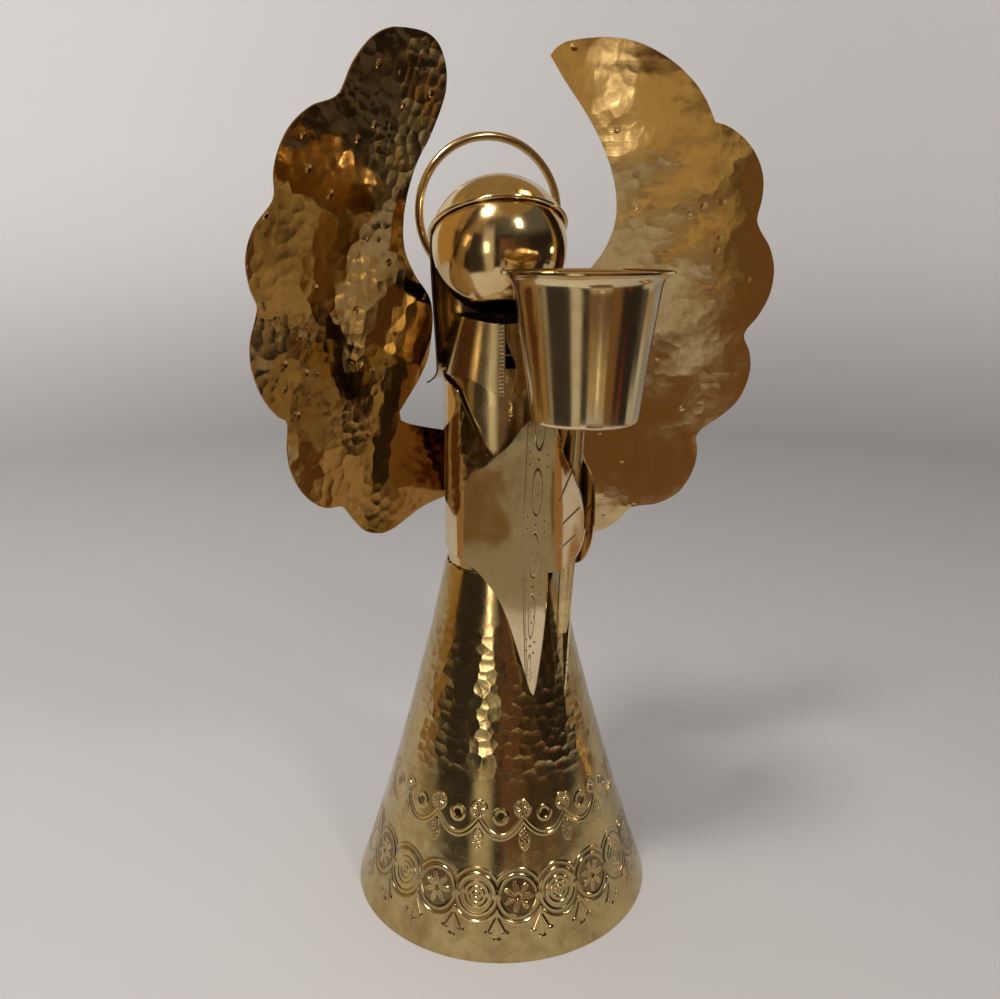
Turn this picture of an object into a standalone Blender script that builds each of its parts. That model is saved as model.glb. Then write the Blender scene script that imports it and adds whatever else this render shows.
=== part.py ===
"""Sheet-brass angel candle holder.

Metres, +Z up, the angel faces -Y. Each piece is one object.
Flat sheet pieces are drawn as patterns and bent onto their surface.
"""
import math

import bmesh
import bpy
import numpy as np
from mathutils import Vector
from mathutils.geometry import delaunay_2d_cdt

COLLECTION = "angel_candle_holder"

# General
GAP = 0.0003
SHEET_T = 0.0007
HEAVY_T = 0.0008
PATTERN_MM = 0.0010

# Skirt
SKIRT_BASE_R = 0.0699
SKIRT_NECK_R = 0.0243
SKIRT_TOP_Z = 0.1610
SKIRT_OVER_Z = 0.0040
SKIRT_WAIST = 0.0112
SKIRT_ROWS = 14
ROUND_SEGS = 64

# Bodice
BODICE_BASE_Z = 0.1500
BODICE_NECK_R = 0.0234
BODICE_NECK_Z = 0.2400

# Collar
COLLAR_ABOVE_NECK = 0.0050
COLLAR_HEIGHT = 0.0240
COLLAR_OVER_BODICE = 0.0040
COLLAR_FOOT_Z = BODICE_NECK_Z + COLLAR_ABOVE_NECK
COLLAR_TOP_Z = COLLAR_FOOT_Z + COLLAR_HEIGHT
BODICE_TOP_Z = COLLAR_FOOT_Z + COLLAR_OVER_BODICE
COLLAR_TOP_R = 0.0189
COLLAR_TURN = 23.0

# Robe and sleeves
ROBE_TOP_Z = 0.2450
ROBE_HEM_Z = 0.1690
HAND_REACH = 0.0550
HAND_CLEAR = 0.00062
STEM_R = 0.0030

# Head
HEAD_R = 0.0282
HEAD_LIFT = 0.0282
HEAD_Z = COLLAR_TOP_Z + HEAD_LIFT
HEAD_X = -0.0009
HEAD_HOLE_R = 0.0070

# Hair
HAIR_TURN = 17.0
HAIR_DROP = 0.0580
HAIR_FOOT_Z = HEAD_Z - HAIR_DROP
HAIR_FOOT_R = 0.0270
HAIR_RIM_Z = 0.0085
HAIR_RIM_SLOPE = 0.487
HAIR_EDGE_ANGLE = 100.0
HAIR_BEAD_R = 0.0010

# Halo
HALO_R = 0.0322
HALO_WIRE_R = 0.0019
HALO_RISE = 0.0142
HALO_Z = HEAD_Z + HALO_RISE
HALO_SIDE = 0.0053
HALO_TURN = 10.0

# Wings
WING_SWEEP = 0.438
WING_LEAN = 0.126
WING_CURL = 0.76
WING_STEP = 0.0065

# Cup
CUP_BASE_Z = 0.2340
CUP_Y = -0.0660
CUP_X = 0.0003
CUP_BASE_R = 0.0200
CUP_BODY_R = 0.0269
CUP_LIP_R = 0.0316
CUP_HEIGHT = 0.0552

# Stem
STEM_FOOT_Z = 0.1440
STEM_LEAN = 6.0
STEM_MID_Z = 0.1900
STEM_MID_Y = -0.0581

# Patterns, in millimetres along and up the sheet
NEAR_SLEEVE = [
    (28.7, 245.0), (38.0, 242.8), (45.9, 239.3), (51.8, 229.6), (56.1, 222.6),
    (60.6, 215.6), (63.2, 213.0), (66.4, 213.9), (74.3, 220.0), (80.5, 227.5),
    (84.6, 231.2), (88.0, 231.8), (94.0, 231.8), (97.0, 231.0), (99.0, 226.6),
    (101.7, 220.2), (105.4, 215.6), (109.5, 211.1), (113.4, 205.0), (115.2, 198.3),
    (114.6, 189.5), (111.2, 182.2), (106.3, 176.3), (101.0, 172.3), (96.6, 170.6),
    (94.1, 170.2), (93.9, 162.0), (93.1, 151.6), (91.2, 135.1), (88.6, 118.5),
    (87.4, 113.4), (86.0, 114.6), (81.6, 125.4), (76.6, 137.2), (72.9, 145.4),
    (68.0, 152.6), (62.4, 157.6), (54.8, 162.9), (45.8, 165.6), (37.7, 167.3),
]
FAR_SLEEVE = [
    (28.7, 245.0), (38.0, 242.8), (45.9, 239.3), (51.8, 229.6), (56.1, 222.6),
    (60.6, 215.6), (63.2, 213.0), (66.4, 213.9), (74.3, 220.0), (80.5, 227.5),
    (84.6, 231.2), (88.0, 231.8), (94.0, 231.8), (97.0, 230.6), (101.6, 222.6),
    (105.4, 217.6), (109.6, 215.2), (112.9, 211.4), (114.5, 205.0), (114.9, 194.4),
    (113.2, 187.0), (109.1, 180.9), (103.6, 176.0), (97.4, 173.2), (93.4, 172.2),
    (93.2, 164.0), (91.6, 150.6), (88.0, 134.1), (83.2, 114.6), (81.4, 109.0),
    (80.0, 110.2), (77.4, 119.4), (74.4, 132.2), (71.2, 143.4), (66.6, 152.0),
    (61.4, 157.4), (54.8, 162.9), (45.8, 165.6), (37.7, 167.3),
]
RIGHT_WING = [
    (0.6, 188.4), (8.0, 186.6), (17.4, 185.2), (28.9, 182.4), (40.8, 177.3),
    (46.5, 175.6), (52.3, 175.4), (60.6, 178.6), (66.5, 184.7), (71.6, 191.6),
    (74.0, 193.4), (80.7, 194.4), (85.6, 196.9), (91.8, 202.9), (96.9, 212.1),
    (98.9, 222.7), (98.5, 231.6), (99.4, 234.4), (103.3, 237.0), (108.9, 244.5),
    (112.6, 254.1), (113.4, 264.2), (111.0, 273.6), (110.4, 277.2), (113.3, 284.0),
    (114.8, 293.6), (111.9, 303.4), (105.2, 311.6), (104.2, 314.4), (104.6, 321.5),
    (102.5, 329.3), (98.2, 336.3), (90.9, 342.3), (82.4, 345.6), (79.6, 348.0),
    (75.4, 357.0), (69.7, 364.1), (63.9, 368.0), (57.5, 369.9), (46.2, 370.3),
    (40.4, 368.6), (36.5, 365.2), (33.4, 359.4), (33.0, 351.3), (38.3, 337.2),
    (43.3, 328.2), (46.8, 316.7), (47.6, 306.9), (45.8, 296.4), (39.7, 286.8),
    (30.8, 277.4), (27.9, 270.0), (27.5, 262.0), (28.6, 251.0), (33.0, 242.6),
    (39.4, 234.7), (43.7, 229.4), (42.8, 225.6), (38.6, 223.4), (28.4, 220.0),
    (17.2, 216.8), (8.0, 214.6), (0.6, 213.6),
]
LEFT_WING = [
    (0.6, 186.0), (8.0, 184.0), (17.4, 180.6), (28.9, 174.6), (40.8, 166.9),
    (46.5, 162.4), (53.0, 160.0), (59.6, 160.4), (65.0, 162.6), (69.9, 166.4),
    (73.2, 171.4), (76.0, 173.2), (86.2, 174.6), (92.0, 177.4), (96.6, 181.6),
    (100.9, 191.6), (101.8, 201.0), (100.4, 208.4), (101.8, 212.0), (109.8, 218.9),
    (115.4, 225.2), (118.4, 233.0), (119.0, 242.0), (116.9, 250.1), (113.4, 256.6),
    (113.6, 260.0), (117.4, 266.4), (120.2, 276.3), (119.4, 287.3), (115.3, 296.9),
    (109.4, 304.4), (107.2, 308.6), (107.0, 317.0), (105.4, 324.8), (101.0, 332.9),
    (94.2, 340.1), (86.0, 345.1), (80.4, 346.6), (78.6, 349.4), (74.5, 355.0),
    (68.6, 361.1), (58.7, 368.2), (48.1, 373.3), (39.7, 375.5), (30.1, 375.9),
    (19.5, 374.5), (15.8, 372.5), (13.8, 369.6), (20.6, 361.2), (30.2, 350.2),
    (37.7, 340.3), (44.5, 328.7), (49.0, 316.8), (50.2, 306.1), (47.8, 295.6),
    (42.6, 286.6), (34.4, 277.0), (30.6, 269.0), (30.0, 260.0), (31.4, 250.0),
    (35.0, 241.6), (40.8, 233.7), (44.2, 228.4), (43.2, 224.6), (38.6, 222.4),
    (28.4, 219.0), (17.2, 215.8), (8.0, 213.6), (0.6, 212.6),
]


def clear_scene():
    for ob in list(bpy.data.objects):
        bpy.data.objects.remove(ob, do_unlink=True)


def brass(name, colour, rough):
    mat = bpy.data.materials.new(name)
    mat.use_nodes = True
    bsdf = mat.node_tree.nodes["Principled BSDF"]
    bsdf.inputs["Base Color"].default_value = (*colour, 1.0)
    bsdf.inputs["Metallic"].default_value = 1.0
    bsdf.inputs["Roughness"].default_value = rough
    mat.diffuse_color = (*colour, 1.0)
    return mat


def add_object(name, bm, mat, coll):
    bmesh.ops.triangulate(bm, faces=bm.faces[:])
    bmesh.ops.recalc_face_normals(bm, faces=bm.faces[:])
    me = bpy.data.meshes.new(name)
    bm.to_mesh(me)
    bm.free()
    me.materials.append(mat)
    ob = bpy.data.objects.new(name, me)
    coll.objects.link(ob)
    return ob


def smooth(t):
    t = min(max(t, 0.0), 1.0)
    return t * t * (3.0 - 2.0 * t)


def lathe(profile, segs, centre=(0.0, 0.0), closed=True):
    """Turn a closed (radius, height) loop round the vertical through centre."""
    bm = bmesh.new()
    rings = []
    for r, z in profile:
        if r < 1e-7:
            rings.append([bm.verts.new((centre[0], centre[1], z))])
        else:
            ring = []
            for k in range(segs):
                a = 2.0 * math.pi * k / segs
                ring.append(bm.verts.new((centre[0] + r * math.sin(a), centre[1] - r * math.cos(a), z)))
            rings.append(ring)
    count = len(rings)
    pairs = count if closed else count - 1
    for i in range(pairs):
        lo = rings[i]
        hi = rings[(i + 1) % count]
        if len(lo) == 1 and len(hi) == 1:
            continue
        for k in range(segs):
            j = (k + 1) % segs
            if len(lo) == 1:
                bm.faces.new((lo[0], hi[j], hi[k]))
            elif len(hi) == 1:
                bm.faces.new((lo[k], lo[j], hi[0]))
            else:
                bm.faces.new((lo[k], lo[j], hi[j], hi[k]))
    return bm


def densify(loop, step):
    """Smooth a closed pattern line and sample it evenly."""
    pts = np.array(loop, dtype=float)
    out = []
    n = len(pts)
    for i in range(n):
        a = pts[i]
        b = pts[(i + 1) % n]
        d = float(np.hypot(*(b - a)))
        k = max(1, int(round(d / step)))
        for j in range(k):
            out.append(a + (b - a) * j / k)
    return out


def inside(p, loop):
    x, y = p
    hit = False
    n = len(loop)
    for i in range(n):
        x0, y0 = loop[i]
        x1, y1 = loop[(i + 1) % n]
        if (y0 > y) != (y1 > y):
            if x < (x1 - x0) * (y - y0) / (y1 - y0) + x0:
                hit = not hit
    return hit


def pattern_mesh(loop, du, dv, edge):
    """Fill a pattern with well shaped triangles; du and dv are the grid steps."""
    line = densify(loop, edge)
    arr = np.array(line)
    pts = [Vector((p[0], p[1] * du / dv)) for p in line]
    edges = [(i, (i + 1) % len(line)) for i in range(len(line))]
    lo = arr.min(axis=0)
    hi = arr.max(axis=0)
    nu = int((hi[0] - lo[0]) / du) + 2
    nv = int((hi[1] - lo[1]) / dv) + 2
    scaled = arr * np.array([1.0, du / dv])
    for i in range(nu):
        for j in range(nv):
            u = lo[0] + (i + 0.5 * (j % 2)) * du
            v = lo[1] + j * dv
            if not inside((u, v), line):
                continue
            near = np.hypot(scaled[:, 0] - u, scaled[:, 1] - v * du / dv).min()
            if near > 0.55 * du:
                pts.append(Vector((u, v * du / dv)))
    res = delaunay_2d_cdt(pts, edges, [], 1, 1e-6)
    verts = [(p.x, p.y * dv / du) for p in res[0]]
    return verts, [tuple(f) for f in res[2]]


def bent_sheet(verts, faces, place, thick):
    """Bend a filled pattern onto a surface and give it its thickness."""
    eps = 1e-5
    bm = bmesh.new()
    top = []
    low = []
    for u, v in verts:
        p = np.array(place(u, v))
        pu = np.array(place(u + eps, v)) - np.array(place(u - eps, v))
        pv = np.array(place(u, v + eps)) - np.array(place(u, v - eps))
        n = np.cross(pu, pv)
        n = n / np.linalg.norm(n) * thick * 0.5
        top.append(bm.verts.new(p + n))
        low.append(bm.verts.new(p - n))
    count = {}
    for f in faces:
        for i in range(len(f)):
            a = f[i]
            b = f[(i + 1) % len(f)]
            count[(a, b)] = True
    for f in faces:
        bm.faces.new([top[i] for i in f])
        bm.faces.new([low[i] for i in reversed(f)])
        for i in range(len(f)):
            a = f[i]
            b = f[(i + 1) % len(f)]
            if (b, a) not in count:
                bm.faces.new((top[b], top[a], low[a], low[b]))
    return bm


def skirt_radius(z):
    """Outer radius; the cone would reach its neck size a little above its cut top."""
    t = z / (SKIRT_TOP_Z + SKIRT_OVER_Z)
    return SKIRT_BASE_R - (SKIRT_BASE_R - SKIRT_NECK_R) * t - SKIRT_WAIST * t * (1.0 - t)


BODICE_WAIST_R = skirt_radius(SKIRT_TOP_Z) - HEAVY_T - GAP
COLLAR_FOOT_R = BODICE_NECK_R + GAP + SHEET_T
ROBE_R = COLLAR_FOOT_R + GAP + SHEET_T * 0.5


def make_skirt(mat, coll):
    outer = []
    inner = []
    for i in range(SKIRT_ROWS + 1):
        z = SKIRT_TOP_Z * i / SKIRT_ROWS
        r = skirt_radius(z)
        outer.append((r, z))
        inner.append((r - HEAVY_T, z))
    return add_object("skirt", lathe(outer + inner[::-1], ROUND_SEGS), mat, coll)


def make_bodice(mat, coll):
    def radius(z):
        if z <= SKIRT_TOP_Z:
            return BODICE_WAIST_R
        if z <= BODICE_NECK_Z:
            t = (z - SKIRT_TOP_Z) / (BODICE_NECK_Z - SKIRT_TOP_Z)
            return BODICE_WAIST_R + (BODICE_NECK_R - BODICE_WAIST_R) * t
        return min(BODICE_NECK_R, collar_radius(z) - SHEET_T - GAP)

    heights = [BODICE_BASE_Z, SKIRT_TOP_Z, 0.5 * (SKIRT_TOP_Z + BODICE_NECK_Z), BODICE_NECK_Z]
    heights += [COLLAR_FOOT_Z, BODICE_TOP_Z]
    outer = [(radius(z), z) for z in heights]
    inner = [(radius(z) - SHEET_T, z) for z in heights]
    return add_object("bodice", lathe(outer + inner[::-1], ROUND_SEGS), mat, coll)


def collar_radius(z):
    slope = (COLLAR_FOOT_R - COLLAR_TOP_R) / (COLLAR_TOP_Z - COLLAR_FOOT_Z)
    return COLLAR_FOOT_R - slope * (z - COLLAR_FOOT_Z)


def make_collar(mat, coll):
    """Cone with a front slit; angles are measured from the slit."""
    arm = 0.022
    hem = [(2.4, 237.4), (9.5, 238.8), (16.0, 240.2), (22.6, 242.0), (34.0, 244.4)]
    hem += [(48.0, 244.9), (60.0, 244.9)]
    loop = []

    def add(deg, z_mm):
        drop = (z_mm * 0.001 - 0.245) + COLLAR_FOOT_Z
        loop.append((math.radians(deg) * arm, drop))

    top = COLLAR_TOP_Z * 1000.0
    for deg, z_mm in hem:
        add(deg, z_mm)
    for deg in range(72, 290, 12):
        add(deg, 244.9)
    for deg, z_mm in hem[::-1]:
        add(360.0 - deg - (5.6 if deg < 3.0 else 0.0), z_mm)
    add(360.0 - 9.6, 249.8)
    slit_z = 260.2 - 245.0 + COLLAR_FOOT_Z * 1000.0
    loop.append((math.radians(359.3) * arm, slit_z * 0.001))
    loop.append((math.radians(359.3) * arm, (top - 2.3) * 0.001))
    for deg in range(348, 12, -12):
        away = min(deg, 360 - deg)
        loop.append((math.radians(deg) * arm, (top - 2.3 * (1.0 - smooth(away / 70.0))) * 0.001))
    loop.append((math.radians(12.0) * arm, (top - 2.3 * (1.0 - smooth(12.0 / 70.0))) * 0.001))
    loop.append((math.radians(0.7) * arm, (top - 2.3) * 0.001))
    loop.append((math.radians(0.7) * arm, slit_z * 0.001))

    def place(u, v):
        a = u / arm + math.radians(COLLAR_TURN)
        r = collar_radius(v) - SHEET_T * 0.5
        return (-r * math.sin(a), -r * math.cos(a), v)

    verts, faces = pattern_mesh(loop, 0.0026, 0.0040, 0.0026)
    return add_object("collar", bent_sheet(verts, faces, place, SHEET_T), mat, coll)


def robe_path():
    """Plan line of the robe from the middle of the back along one side."""
    aim = (STEM_R + GAP + SHEET_T * 0.5 + HAND_CLEAR, HAND_REACH)
    d = math.hypot(*aim)
    leave = math.pi - (math.acos(ROBE_R / d) + math.atan2(aim[0], aim[1]))
    u_leave = ROBE_R * leave
    run = math.sqrt(d * d - ROBE_R * ROBE_R)
    turn = math.radians(97.0)
    step = 0.25 * PATTERN_MM
    us = [0.0]
    xs = [0.0]
    ys = [ROBE_R]
    while us[-1] < 125.0 * PATTERN_MM:
        u = us[-1] + step * 0.5
        if u < u_leave:
            b = u / ROBE_R
        else:
            t = smooth((u - (u_leave + run - 5.0 * PATTERN_MM)) / (10.0 * PATTERN_MM))
            b = leave + (turn - leave) * t
        xs.append(xs[-1] + math.cos(b) * step)
        ys.append(ys[-1] - math.sin(b) * step)
        us.append(us[-1] + step)
    return np.array(us), np.array(xs), np.array(ys)


def make_robe(mat, coll):
    us, xs, ys = robe_path()
    top = ROBE_TOP_Z - 245.0 * PATTERN_MM
    hem = ROBE_HEM_Z - 169.0 * PATTERN_MM

    def shift(p):
        t = smooth((p[1] - 175.0) / 60.0)
        return (p[0] * PATTERN_MM, p[1] * PATTERN_MM + top * t + hem * (1.0 - t))

    near = [shift(p) for p in NEAR_SLEEVE]
    far = [(-p[0], p[1]) for p in (shift(q) for q in FAR_SLEEVE)]
    wide = 12.0 * PATTERN_MM
    back_top = [(-wide, ROBE_TOP_Z), (wide, ROBE_TOP_Z)]
    wide = 22.0 * PATTERN_MM
    back_low = [(wide, ROBE_HEM_Z), (0.0, ROBE_HEM_Z + 0.2 * PATTERN_MM), (-wide, ROBE_HEM_Z)]
    loop = back_top + near + back_low + far[::-1]

    def place(u, v):
        a = abs(u)
        x = float(np.interp(a, us, xs))
        y = float(np.interp(a, us, ys))
        if a < 1e-4:
            y = ROBE_R
        return (-math.copysign(x, u), y, v)

    verts, faces = pattern_mesh(loop, 4.2 * PATTERN_MM, 7.5 * PATTERN_MM, 4.0 * PATTERN_MM)
    bm = bmesh.new()
    half = SHEET_T * 0.5
    top_v = []
    low_v = []
    for u, v in verts:
        a = abs(u)
        x, y, z = place(u, v)
        x1, y1, _ = place(math.copysign(a + 0.0006, u), v)
        x0, y0, _ = place(math.copysign(max(a - 0.0006, 0.0), u), v)
        dx = x1 - x0
        dy = y1 - y0
        n = math.hypot(dx, dy)
        side = math.copysign(1.0, u)
        nx = side * dy / n
        ny = -side * dx / n
        if a < 1e-4:
            nx = 0.0
            ny = 1.0
        top_v.append(bm.verts.new((x + nx * half, y + ny * half, z)))
        low_v.append(bm.verts.new((x - nx * half, y - ny * half, z)))
    used = set()
    for f in faces:
        for i in range(len(f)):
            used.add((f[i], f[(i + 1) % len(f)]))
    for f in faces:
        bm.faces.new([top_v[i] for i in f])
        bm.faces.new([low_v[i] for i in reversed(f)])
        for i in range(len(f)):
            a = f[i]
            b = f[(i + 1) % len(f)]
            if (b, a) not in used:
                bm.faces.new((top_v[b], top_v[a], low_v[a], low_v[b]))
    return add_object("robe", bm, mat, coll)


def make_head(mat, coll):
    outer = []
    inner = []
    rows = 18
    inner_r = HEAD_R - HEAVY_T
    start = math.asin(HEAD_HOLE_R / HEAD_R)
    for i in range(rows + 1):
        a = start + (math.pi - start) * i / rows
        outer.append((HEAD_R * math.sin(a) if i < rows else 0.0, HEAD_Z - HEAD_R * math.cos(a)))
        inner.append((inner_r * math.sin(a) if i < rows else 0.0, HEAD_Z - inner_r * math.cos(a)))
    bm = lathe(outer + inner[::-1], 40, (HEAD_X, 0.0))
    return add_object("head", bm, mat, coll)


HAIR_R = HEAD_R + GAP + SHEET_T * 0.5


def veil_profile(s):
    """Mid line of the veil, s from 0 at the head's centre height to 1 at the foot."""
    drop = HEAD_Z - HAIR_FOOT_Z
    z = HEAD_Z - drop * s
    r = HAIR_R + (HAIR_FOOT_R - HAIR_R) * smooth(s * 1.05)
    flip = max(0.0, (s - 0.88) / 0.12)
    r += 0.0046 * flip * flip
    z += 0.0012 * flip * flip
    return r, z


def veil_outer(z):
    best = HAIR_R
    gap = 1.0
    for i in range(101):
        r, h = veil_profile(i / 100.0)
        if abs(h - z) < gap:
            gap = abs(h - z)
            best = r
    return best + SHEET_T * 0.5


def hair_point(r, alpha, z, forward=0.0):
    """Point at an angle from the hair's own front."""
    turn = math.radians(HAIR_TURN)
    a = alpha + turn
    x = HEAD_X - r * math.sin(a) - forward * math.sin(turn)
    y = -r * math.cos(a) - forward * math.cos(turn)
    return Vector((x, y, z))


def rim_polar(alpha):
    lo = 0.0
    hi = math.pi * 0.75
    for _ in range(50):
        mid = 0.5 * (lo + hi)
        lhs = HAIR_R * math.cos(mid)
        rhs = HAIR_RIM_Z + HAIR_RIM_SLOPE * HAIR_R * math.sin(mid) * math.cos(alpha)
        if lhs > rhs:
            lo = mid
        else:
            hi = mid
    return lo


def make_hair(mat, coll):
    edge = math.radians(HAIR_EDGE_ANGLE)
    fronts = 28
    backs = 24
    alphas = [-edge + 2.0 * edge * i / fronts for i in range(fronts + 1)]
    rest = 2.0 * math.pi - 2.0 * edge
    alphas += [edge + rest * i / backs for i in range(1, backs)]
    cap_rows = 9
    veil_rows = 13
    bm = bmesh.new()
    normals = {}
    pole = bm.verts.new(hair_point(0.0, 0.0, HEAD_Z + HAIR_R))
    normals[pole] = Vector((0.0, 0.0, 1.0))
    grid = []
    for a in alphas:
        wrapped = math.atan2(math.sin(a), math.cos(a))
        limit = rim_polar(wrapped if abs(wrapped) <= edge else edge)
        col = []
        for k in range(1, cap_rows + 1):
            th = limit * k / cap_rows
            co = hair_point(HAIR_R * math.sin(th), a, HEAD_Z + HAIR_R * math.cos(th))
            v = bm.verts.new(co)
            n = hair_point(math.sin(th), a, math.cos(th)) - hair_point(0.0, a, 0.0)
            normals[v] = n.normalized()
            col.append(v)
        grid.append(col)
    n_col = len(alphas)
    for i in range(n_col):
        j = (i + 1) % n_col
        bm.faces.new((pole, grid[i][0], grid[j][0]))
        for k in range(cap_rows - 1):
            bm.faces.new((grid[i][k], grid[i][k + 1], grid[j][k + 1], grid[j][k]))
    back_ids = list(range(fronts, n_col)) + [0]
    limit = rim_polar(edge)
    z_edge = HEAD_Z + HAIR_R * math.cos(limit)
    veil = []
    for i in back_ids:
        a = alphas[i]
        col = [grid[i][-1]]
        for k in range(1, veil_rows + 1):
            t = k / veil_rows
            if t < 0.12 and z_edge > HEAD_Z:
                pass
            s = -(z_edge - HEAD_Z) / (HEAD_Z - HAIR_FOOT_Z)
            s = s + (1.0 - s) * (1.0 - (1.0 - t) ** 1.25)
            if s <= 0.0:
                z = HEAD_Z - s * (HEAD_Z - HAIR_FOOT_Z)
                r = math.sqrt(max(HAIR_R ** 2 - (z - HEAD_Z) ** 2, 0.0))
                n = hair_point(r, a, z) - hair_point(0.0, a, HEAD_Z)
            else:
                r, z = veil_profile(s)
                r2, z2 = veil_profile(min(s + 0.01, 1.0))
                r0, z0 = veil_profile(max(s - 0.01, 0.0))
                tr = r2 - r0
                tz = z2 - z0
                n = hair_point(-tz, a, tr) - hair_point(0.0, a, 0.0)
            v = bm.verts.new(hair_point(r, a, z, 0.0010 * max(s, 0.0)))
            normals[v] = n.normalized()
            col.append(v)
        veil.append(col)
    for i in range(len(veil) - 1):
        for k in range(veil_rows):
            bm.faces.new((veil[i][k], veil[i][k + 1], veil[i + 1][k + 1], veil[i + 1][k]))
    verts = list(bm.verts)
    index = {v: i for i, v in enumerate(verts)}
    out = bmesh.new()
    half = SHEET_T * 0.5
    top = [out.verts.new(v.co + normals[v] * half) for v in verts]
    low = [out.verts.new(v.co - normals[v] * half) for v in verts]
    used = set()
    faces = []
    for f in bm.faces:
        ids = [index[v] for v in f.verts]
        faces.append(ids)
        for k in range(len(ids)):
            used.add((ids[k], ids[(k + 1) % len(ids)]))
    for ids in faces:
        out.faces.new([top[i] for i in ids])
        out.faces.new([low[i] for i in reversed(ids)])
        for k in range(len(ids)):
            a = ids[k]
            b = ids[(k + 1) % len(ids)]
            if (b, a) not in used:
                out.faces.new((top[b], top[a], low[a], low[b]))
    bm.free()
    hair = add_object("hair", out, mat, coll)
    bead = make_rim_bead(edge, coll, mat)
    mod = hair.modifiers.new("bead", "BOOLEAN")
    mod.operation = "UNION"
    mod.solver = "EXACT"
    mod.object = bead
    return hair


def make_rim_bead(edge, coll, mat):
    bm = bmesh.new()
    count = 40
    around = 8
    rings = []
    centres = []
    radius = HAIR_R - SHEET_T * 0.5 + HAIR_BEAD_R
    for i in range(count + 1):
        a = -edge + 2.0 * edge * i / count
        th = rim_polar(a)
        centres.append((a, th))
    for i, (a, th) in enumerate(centres):
        here = hair_point(radius * math.sin(th), a, HEAD_Z + radius * math.cos(th))
        a0, t0 = centres[max(i - 1, 0)]
        a1, t1 = centres[min(i + 1, count)]
        back = hair_point(radius * math.sin(t0), a0, HEAD_Z + radius * math.cos(t0))
        ahead = hair_point(radius * math.sin(t1), a1, HEAD_Z + radius * math.cos(t1))
        along = (ahead - back).normalized()
        out = (here - hair_point(0.0, 0.0, HEAD_Z)).normalized()
        side = along.cross(out).normalized()
        ring = []
        for k in range(around):
            w = 2.0 * math.pi * (k + 0.5) / around
            co = here + (out * math.cos(w) + side * math.sin(w)) * HAIR_BEAD_R
            ring.append(bm.verts.new(co))
        rings.append(ring)
    for i in range(count):
        for k in range(around):
            j = (k + 1) % around
            bm.faces.new((rings[i][k], rings[i][j], rings[i + 1][j], rings[i + 1][k]))
    bm.faces.new(rings[0][::-1])
    bm.faces.new(rings[-1])
    tools = bpy.data.collections.new("tools")
    bpy.context.scene.collection.children.link(tools)
    tools.hide_render = True
    bead = add_object("rim_bead", bm, mat, tools)
    bead.hide_render = True
    bead.display_type = "WIRE"
    return bead


def make_halo(mat, coll):
    turn = math.radians(HALO_TURN)
    back = Vector((math.sin(turn), math.cos(turn), 0.0))
    lat = Vector((math.cos(turn), -math.sin(turn), 0.0))
    low_z = HALO_Z - HALO_R
    dist = veil_outer(low_z) + GAP + HALO_WIRE_R - 0.00006
    centre = Vector((HEAD_X, 0.0, HALO_Z)) + back * dist + lat * HALO_SIDE
    bm = bmesh.new()
    segs = 56
    around = 10
    rings = []
    for i in range(segs):
        a = 2.0 * math.pi * i / segs
        out = lat * math.cos(a) + Vector((0.0, 0.0, 1.0)) * math.sin(a)
        ring = []
        for k in range(around):
            w = 2.0 * math.pi * k / around
            co = centre + out * (HALO_R + HALO_WIRE_R * math.cos(w)) + back * HALO_WIRE_R * math.sin(w)
            ring.append(bm.verts.new(co))
        rings.append(ring)
    for i in range(segs):
        n = (i + 1) % segs
        for k in range(around):
            j = (k + 1) % around
            bm.faces.new((rings[i][k], rings[n][k], rings[n][j], rings[i][j]))
    return add_object("halo", bm, mat, coll)


def wing_forward(s, z):
    """How far the wing sheet stands in front of the skirt's axis, all in mm."""
    straight = -24.0 + WING_SWEEP * (s - 24.0)
    root = -(ROBE_R + SHEET_T * 0.5 + GAP + HEAVY_T * 0.5) / PATTERN_MM
    join = -24.0 + WING_SWEEP * 16.0
    t = min(max((s - 4.0) / 36.0, 0.0), 1.0)
    bend = (2 * t ** 3 - 3 * t ** 2 + 1) * root
    bend += (-2 * t ** 3 + 3 * t ** 2) * join
    bend += (t ** 3 - t ** 2) * 36.0 * WING_SWEEP
    near = straight if s >= 40.0 else bend
    high = smooth((z - 225.0) / 40.0)
    base = near * (1.0 - high) + straight * high
    weight = 1.0 - (1.0 - smooth((s - 8.0) / 32.0)) * (1.0 - high)
    up = z - 200.0
    curl = WING_CURL * 0.001 * max(up, 0.0) ** 2
    return base + weight * (WING_LEAN * up + curl)


def make_wing(name, outline, side, mat, coll):
    def place(u, v):
        f = wing_forward(u / PATTERN_MM, v / PATTERN_MM) * PATTERN_MM
        return (-side * u, -f, v)

    loop = [(p[0] * PATTERN_MM, p[1] * PATTERN_MM) for p in outline]
    verts, faces = pattern_mesh(loop, WING_STEP, WING_STEP, 3.6 * PATTERN_MM)
    return add_object(name, bent_sheet(verts, faces, place, HEAVY_T), mat, coll)


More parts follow.
